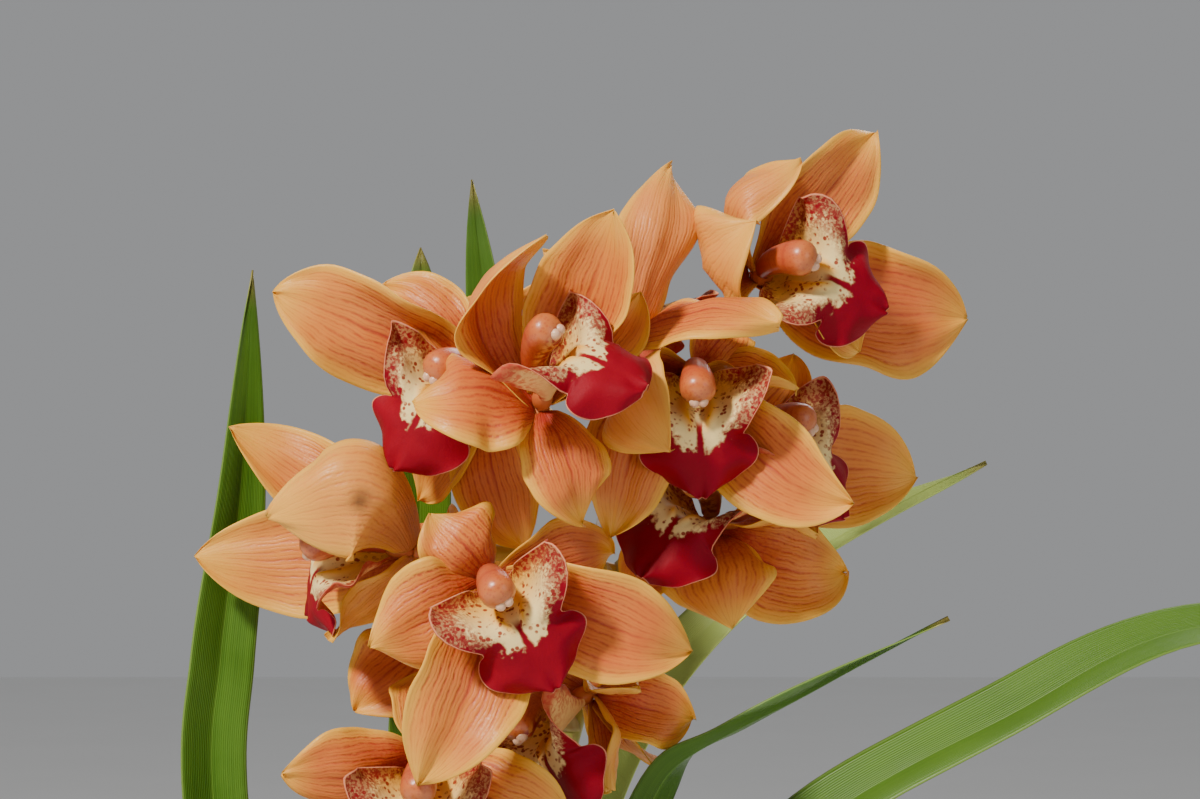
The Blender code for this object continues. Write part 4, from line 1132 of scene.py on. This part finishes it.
def make_leaf(name, spec, lift, looks):
    """One strap leaf: a folded foot, a keel down its middle and a slight wave towards its tip."""
    draw = random.Random(f"leaf {name}")
    low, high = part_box(f"bulb_{spec['bulb']}")
    seat_x, seat_y = spec["seat"]
    foot = Vector(((low.x + high.x) / 2.0 + seat_x * MM, (low.y + high.y) / 2.0 + seat_y * MM, high.z))
    sheath = foot + Vector((0.0, 0.0, SHEATH_HEIGHT))
    pieces = 12
    bends = smooth_route([sheath] + [Vector(point) * MM + lift for point in spec["route"]], pieces)
    route = [foot, foot.lerp(sheath, 0.33), foot.lerp(sheath, 0.66)] + bends
    coarse = len(spec["route"]) * 3 + 1
    shares = [0.0, 0.33 / coarse, 0.66 / coarse]
    shares += [(1.0 + 3.0 * k / pieces) / coarse for k in range(len(bends))]
    face = Vector(spec["face"]).normalized()
    half = spec["width"] * MM / 2.0
    fold = math.radians(spec["fold"])
    tone = draw.random()
    last = len(route) - 1
    seed = Vector((draw.uniform(0.0, 30.0), 0.0, 0.0))

    def surface(s, t):
        k = round(s * last)
        share = shares[k]
        ahead = (route[min(k + 1, last)] - route[max(k - 1, 0)]).normalized()
        up = (face - ahead * face.dot(ahead)).normalized()
        side = ahead.cross(up)
        reach = half * leaf_outline(share, spec["point"])
        lean = fold * (1.0 + 1.4 * (1.0 - ease(share / 0.2)))
        soft = math.sqrt(t * t + 0.0036) - 0.06
        slant = math.copysign(1.0, t) * min(abs(t) / 0.08, 1.0) * lean
        place = route[k] + side * reach * t * math.cos(lean) + up * reach * soft * math.sin(lean)
        ripple = 0.0016 * noise.noise(seed + Vector((share * 7.0, t * 0.8, 0.0))) * ease(share / 0.2)
        normal = up * math.cos(slant) - side * math.sin(slant)
        return place + up * ripple, normal

    def thickness(s, t):
        return LEAF_MARGIN + (LEAF_THICKNESS - LEAF_MARGIN) * (1.0 - abs(t) ** 1.5)

    def describe(s, t, inner):
        return dict(along=shares[round(s * last)], across=t, tone=tone, pale=float(name == PALE_LEAF))

    pile = Pile("along", "across", "tone", "pale")
    columns = [-1.0, -0.85, -0.65, -0.45, -0.25, -0.1, -0.04, 0.0, 0.04, 0.1, 0.25, 0.45, 0.65, 0.85, 1.0]
    add_sheet(pile, spread(last + 1), columns, surface, thickness, describe)
    pile.piece(f"{name}_leaf", looks["leaf"], "leaf", f"leaf_{name}")


def make_bulb(name, looks):
    """A ribbed pseudobulb in the CAD bulb's box, with the edges of its sheaths stepping round it."""
    node = f"bulb_{name}"
    low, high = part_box(node)
    centre = Vector(((low.x + high.x) / 2.0, (low.y + high.y) / 2.0, low.z))
    full = (high.x - low.x) / 2.0
    height = high.z - low.z
    draw = random.Random(f"bulb {name}")
    phase = draw.uniform(0.0, 6.3)
    pile = Pile("along", "rib")
    rings = 34
    sides = 56
    grid = []
    for i in range(rings + 1):
        u = i / rings
        if u < 0.36:
            body = 0.70 + 0.30 * math.sin(math.pi * min(u / 0.72, 1.0)) ** 0.8
        else:
            body = 1.0 - 0.50 * ease((u - 0.34) / 0.70)
        row = []
        for turn in turns(sides):
            rib = 0.5 + 0.5 * math.cos(9.0 * turn + phase)
            edge = 0.30 + 0.16 * math.sin(turn + phase) + 0.22 * (math.sin(turn * 0.5 + phase) > 0.4)
            sheath = BULB_SHEATH * ease((edge - u) / 0.02)
            radius = full * body * (0.955 + 0.045 * rib) - BULB_SHEATH + sheath
            spot = centre + level_way(turn) * radius + Vector((0.0, 0.0, height * u))
            row.append(pile.point(spot, along=u, rib=1.0 - rib))
        grid.append(row)
    pile.wall(grid)
    for row, level in ((grid[0], 0.0), (grid[-1], height)):
        middle = pile.point(centre + Vector((0.0, 0.0, level)), along=level / height)
        pile.cap(row, middle)
    pile.piece(f"{name}_bulb", looks["bulb"], "bulb", node)


# --- Pot and bark -------------------------------------------------------------------------------------

def inner_radius(height, rim_radius, pot_height):
    slope = (rim_radius - RIM_STEP - POT_FOOT_RADIUS) / (pot_height - RIM_BAND)
    return POT_FOOT_RADIUS + slope * height - POT_WALL


def rounded(corners, radius, steps=4):
    """The corners of an outline with each one turned into a short arc."""
    outline = []
    for k, (x, z) in enumerate(corners):
        here = Vector((x, z))
        before = Vector(corners[k - 1])
        after = Vector(corners[(k + 1) % len(corners)])
        if k in (0, len(corners) - 1):
            outline.append(here)
            continue
        cut = min(radius, (before - here).length * 0.4, (after - here).length * 0.4)
        start = here + (before - here).normalized() * cut
        end = here + (after - here).normalized() * cut
        for step in range(steps + 1):
            u = step / steps
            outline.append(start * (1 - u) ** 2 + here * 2 * u * (1 - u) + end * u * u)
    return outline


def make_pot(looks):
    """The moulded pot: a banded rim with soft edges, a thin wall, a recessed foot ring and holes."""
    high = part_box("pot")[1]
    rim = high.x
    tall = high.z
    corners = [
        (0.0, FOOT_RECESS),
        (POT_FOOT_RADIUS - 0.006, FOOT_RECESS),
        (POT_FOOT_RADIUS - 0.005, 0.0),
        (POT_FOOT_RADIUS, 0.0),
        (rim - RIM_STEP, tall - RIM_BAND),
        (rim, tall - RIM_BAND),
        (rim, tall),
        (inner_radius(tall, rim, tall), tall),
        (inner_radius(POT_FLOOR, rim, tall), POT_FLOOR),
        (0.0, POT_FLOOR),
    ]
    outline = rounded(corners, POT_EDGE_RADIUS)
    sides = 128
    pile = Pile("along")
    rings = []
    for radius, level in outline[1:-1]:
        ring = []
        for turn in turns(sides):
            spot = (radius * math.cos(turn), radius * math.sin(turn), level)
            ring.append(pile.point(spot, along=level / tall))
        rings.append(ring)
    pile.wall(rings)
    for ring, (radius, level) in ((rings[0], outline[0]), (rings[-1], outline[-1])):
        middle = pile.point((0.0, 0.0, level))
        pile.cap(ring, middle)
    pot = pile.piece("pot_shell", looks["pot"], "pot", "pot")
    cutters = []
    for k in range(DRAIN_HOLES):
        turn = 2.0 * math.pi * (k + 0.5) / DRAIN_HOLES
        mesh = bpy.data.meshes.new(f"drain_{k}")
        work = bmesh.new()
        bmesh.ops.create_cone(work, cap_ends=True, segments=24, radius1=DRAIN_RADIUS,
                              radius2=DRAIN_RADIUS, depth=4.0 * POT_FLOOR)
        spot = (DRAIN_CIRCLE * math.cos(turn), DRAIN_CIRCLE * math.sin(turn), 0.002)
        bmesh.ops.translate(work, verts=work.verts, vec=spot)
        work.to_mesh(mesh)
        work.free()
        cutter = new_object(f"drain_{k}", mesh)
        cutters.append(cutter)
        modifier = pot.modifiers.new(f"drain_{k}", "BOOLEAN")
        modifier.operation = "DIFFERENCE"
        modifier.object = cutter
    evaluated = pot.evaluated_get(bpy.context.evaluated_depsgraph_get())
    pierced = bpy.data.meshes.new_from_object(evaluated)
    pot.modifiers.clear()
    pot.data = pierced
    for cutter in cutters:
        bpy.data.objects.remove(cutter)


def chip_clear(x, y, keep_out):
    return all((x - cx) ** 2 + (y - cy) ** 2 > radius ** 2 for cx, cy, radius in keep_out)


def make_bark(looks):
    """Chips of bark heaped over a rough bed, clear of the bulbs and inside the pot."""
    draw = random.Random("bark")
    bed_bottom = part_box("bark_mix")[0].z
    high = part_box("pot")[1]
    rim = high.x
    tall = high.z
    top = tall - HEADSPACE
    bed = Pile("tone")
    rings = 26
    sides = 72
    grid = []
    for i in range(1, rings + 1):
        row = []
        for turn in turns(sides):
            radius = (inner_radius(top, rim, tall) - BARK_GAP) * i / rings
            spot = Vector((radius * math.cos(turn), radius * math.sin(turn), 0.0))
            lump = 0.0016 * noise.noise(spot * 160.0) - 0.0018
            tone = 0.3 + 0.6 * noise.noise(spot * 300.0)
            row.append(bed.point(spot + Vector((0.0, 0.0, top + lump)), tone=tone))
        grid.append(row)
    middle = bed.point((0.0, 0.0, top - 0.0018), tone=0.3)
    bed.cap(grid[0], middle)
    bed.wall(grid)
    foot = []
    for turn in turns(sides):
        radius = inner_radius(POT_FLOOR, rim, tall) - BARK_GAP
        foot.append(bed.point((radius * math.cos(turn), radius * math.sin(turn), bed_bottom)))
    bed.band(grid[-1], foot)
    bottom = bed.point((0.0, 0.0, bed_bottom))
    bed.cap(foot, bottom)
    bed.piece("bark_bed", looks["bark"], "bark", "bark_mix")
    keep_out = []
    for name in BULBS:
        low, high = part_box(f"bulb_{name}")
        middle = (low + high) / 2.0
        keep_out.append((middle.x, middle.y, (high.x - low.x) / 2.0 + 0.003))
    spike_foot = Vector(SPIKE_ROUTE[0]) * MM
    keep_out.append((spike_foot.x, spike_foot.y, 0.009))
    keep_out.append((spike_foot.x - 0.014, spike_foot.y + 0.002, 0.007))
    chips = Pile("tone")
    placed = 0
    while placed < CHIP_COUNT:
        turn = draw.uniform(0.0, 2.0 * math.pi)
        size = draw.uniform(*CHIP_SIZES)
        radius = math.sqrt(draw.random()) * (inner_radius(top, rim, tall) - size * 1.15)
        x = radius * math.cos(turn)
        y = radius * math.sin(turn)
        if not chip_clear(x, y, keep_out):
            continue
        placed += 1
        add_chip(chips, Vector((x, y, top + draw.uniform(-0.001, 0.0022))), size, draw)
    chips.piece("bark_chips", looks["bark"], "bark")


def add_chip(pile, centre, size, draw):
    """One broken piece of bark: a flat rounded block with uneven corners."""
    turn = Matrix.Rotation(draw.uniform(0.0, 6.3), 3, "Z") @ Matrix.Rotation(draw.uniform(-0.5, 0.5), 3, "X")
    turn = turn @ Matrix.Rotation(draw.uniform(-0.4, 0.4), 3, "Y")
    shape = Vector((1.0, draw.uniform(0.5, 0.85), draw.uniform(0.28, 0.5))) * size
    tone = draw.random()
    seed = Vector((draw.uniform(0.0, 60.0), 0.0, 0.0))
    work = bmesh.new()
    bmesh.ops.create_cube(work, size=2.0)
    bmesh.ops.subdivide_edges(work, edges=work.edges, cuts=2, use_grid_fill=True)
    start = len(pile.points)
    for vertex in work.verts:
        way = vertex.co.normalized()
        block = way.lerp(vertex.co, 0.55)
        block = Vector((block.x * shape.x, block.y * shape.y, block.z * shape.z)) * 0.72
        rough = 1.0 + 0.32 * noise.noise(way * 1.6 + seed)
        shade = tone + 0.3 * noise.noise(way * 3.0 + seed)
        pile.point(centre + turn @ (block * rough), tone=min(max(shade, 0.0), 1.0))
    for face in work.faces:
        pile.face(*[start + vertex.index for vertex in face.verts])
    work.free()


# --- Stage --------------------------------------------------------------------------------------------

def make_stage():
    """A pale floor, soft studio lights, and the camera that looks at the flowers from the front."""
    mesh = bpy.data.meshes.new("floor")
    half = 5.0
    corners = [(-half, -half, 0.0), (half, -half, 0.0), (half, half, 0.0), (-half, half, 0.0)]
    mesh.from_pydata(corners, [], [(0, 1, 2, 3)])
    floor = new_object("floor", mesh)
    shade = Shade("floor", 0.75)
    grain = shade.grain(shade.ground(), 6.0, 4.0)
    mesh.materials.append(shade.finish(shade.blend(grain, (0.78, 0.78, 0.77), (0.82, 0.82, 0.81))))
    world = bpy.data.worlds.new("studio")
    world.use_nodes = True
    ground = world.node_tree.nodes["Background"]
    ground.inputs["Color"].default_value = (0.80, 0.81, 0.83, 1.0)
    ground.inputs["Strength"].default_value = 0.38
    bpy.context.scene.world = world
    target = Vector((0.06, 0.0, 0.45))
    for name, place, size, power, colour in (
            ("key", (-1.0, -1.3, 1.9), 0.24, 76.0, (1.0, 0.96, 0.90)),
            ("fill", (1.6, -1.4, 0.9), 1.2, 8.0, (0.94, 0.97, 1.0)),
            ("back", (0.7, 1.6, 1.6), 0.9, 14.0, (1.0, 1.0, 1.0))):
        light = bpy.data.lights.new(name, "AREA")
        light.size = size
        light.energy = power
        light.color = colour
        lamp = new_object(name, light)
        lamp.location = place
        lamp.rotation_euler = (target - Vector(place)).to_track_quat("-Z", "Y").to_euler()
    camera_data = bpy.data.cameras.new("camera")
    camera_data.lens = 100.0
    camera_data.sensor_width = 36.0
    camera = new_object("camera", camera_data)
    camera.location = (0.060, -1.000, 0.500)
    camera.rotation_euler = (math.pi / 2.0, 0.0, 0.0)
    bpy.context.scene.camera = camera


def main():
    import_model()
    lift = Vector((0.0, 0.0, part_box("pot")[1].z - TABLE_POT_HEIGHT))
    looks = {
        "tepal": tepal_material(),
        "lip": lip_material(),
        "column": column_material(),
        "leaf": leaf_material(),
        "stem": stem_material(),
        "bulb": bulb_material(),
        "stake": stake_material(),
        "clip": clip_material(),
        "bark": bark_material(),
        "pot": pot_material(),
    }
    spike = spike_route(lift)
    for place, spec in FLOWERS.items():
        make_flower(place, spec, lift, spike, looks)
    make_spike(lift, spike, looks)
    make_stake(looks)
    for place in ("upper", "lower"):
        make_clip(place, spike, looks)
    for name, spec in LEAVES.items():
        make_leaf(name, spec, lift, looks)
    for name in BULBS:
        make_bulb(name, looks)
    make_pot(looks)
    make_bark(looks)
    make_stage()


main()
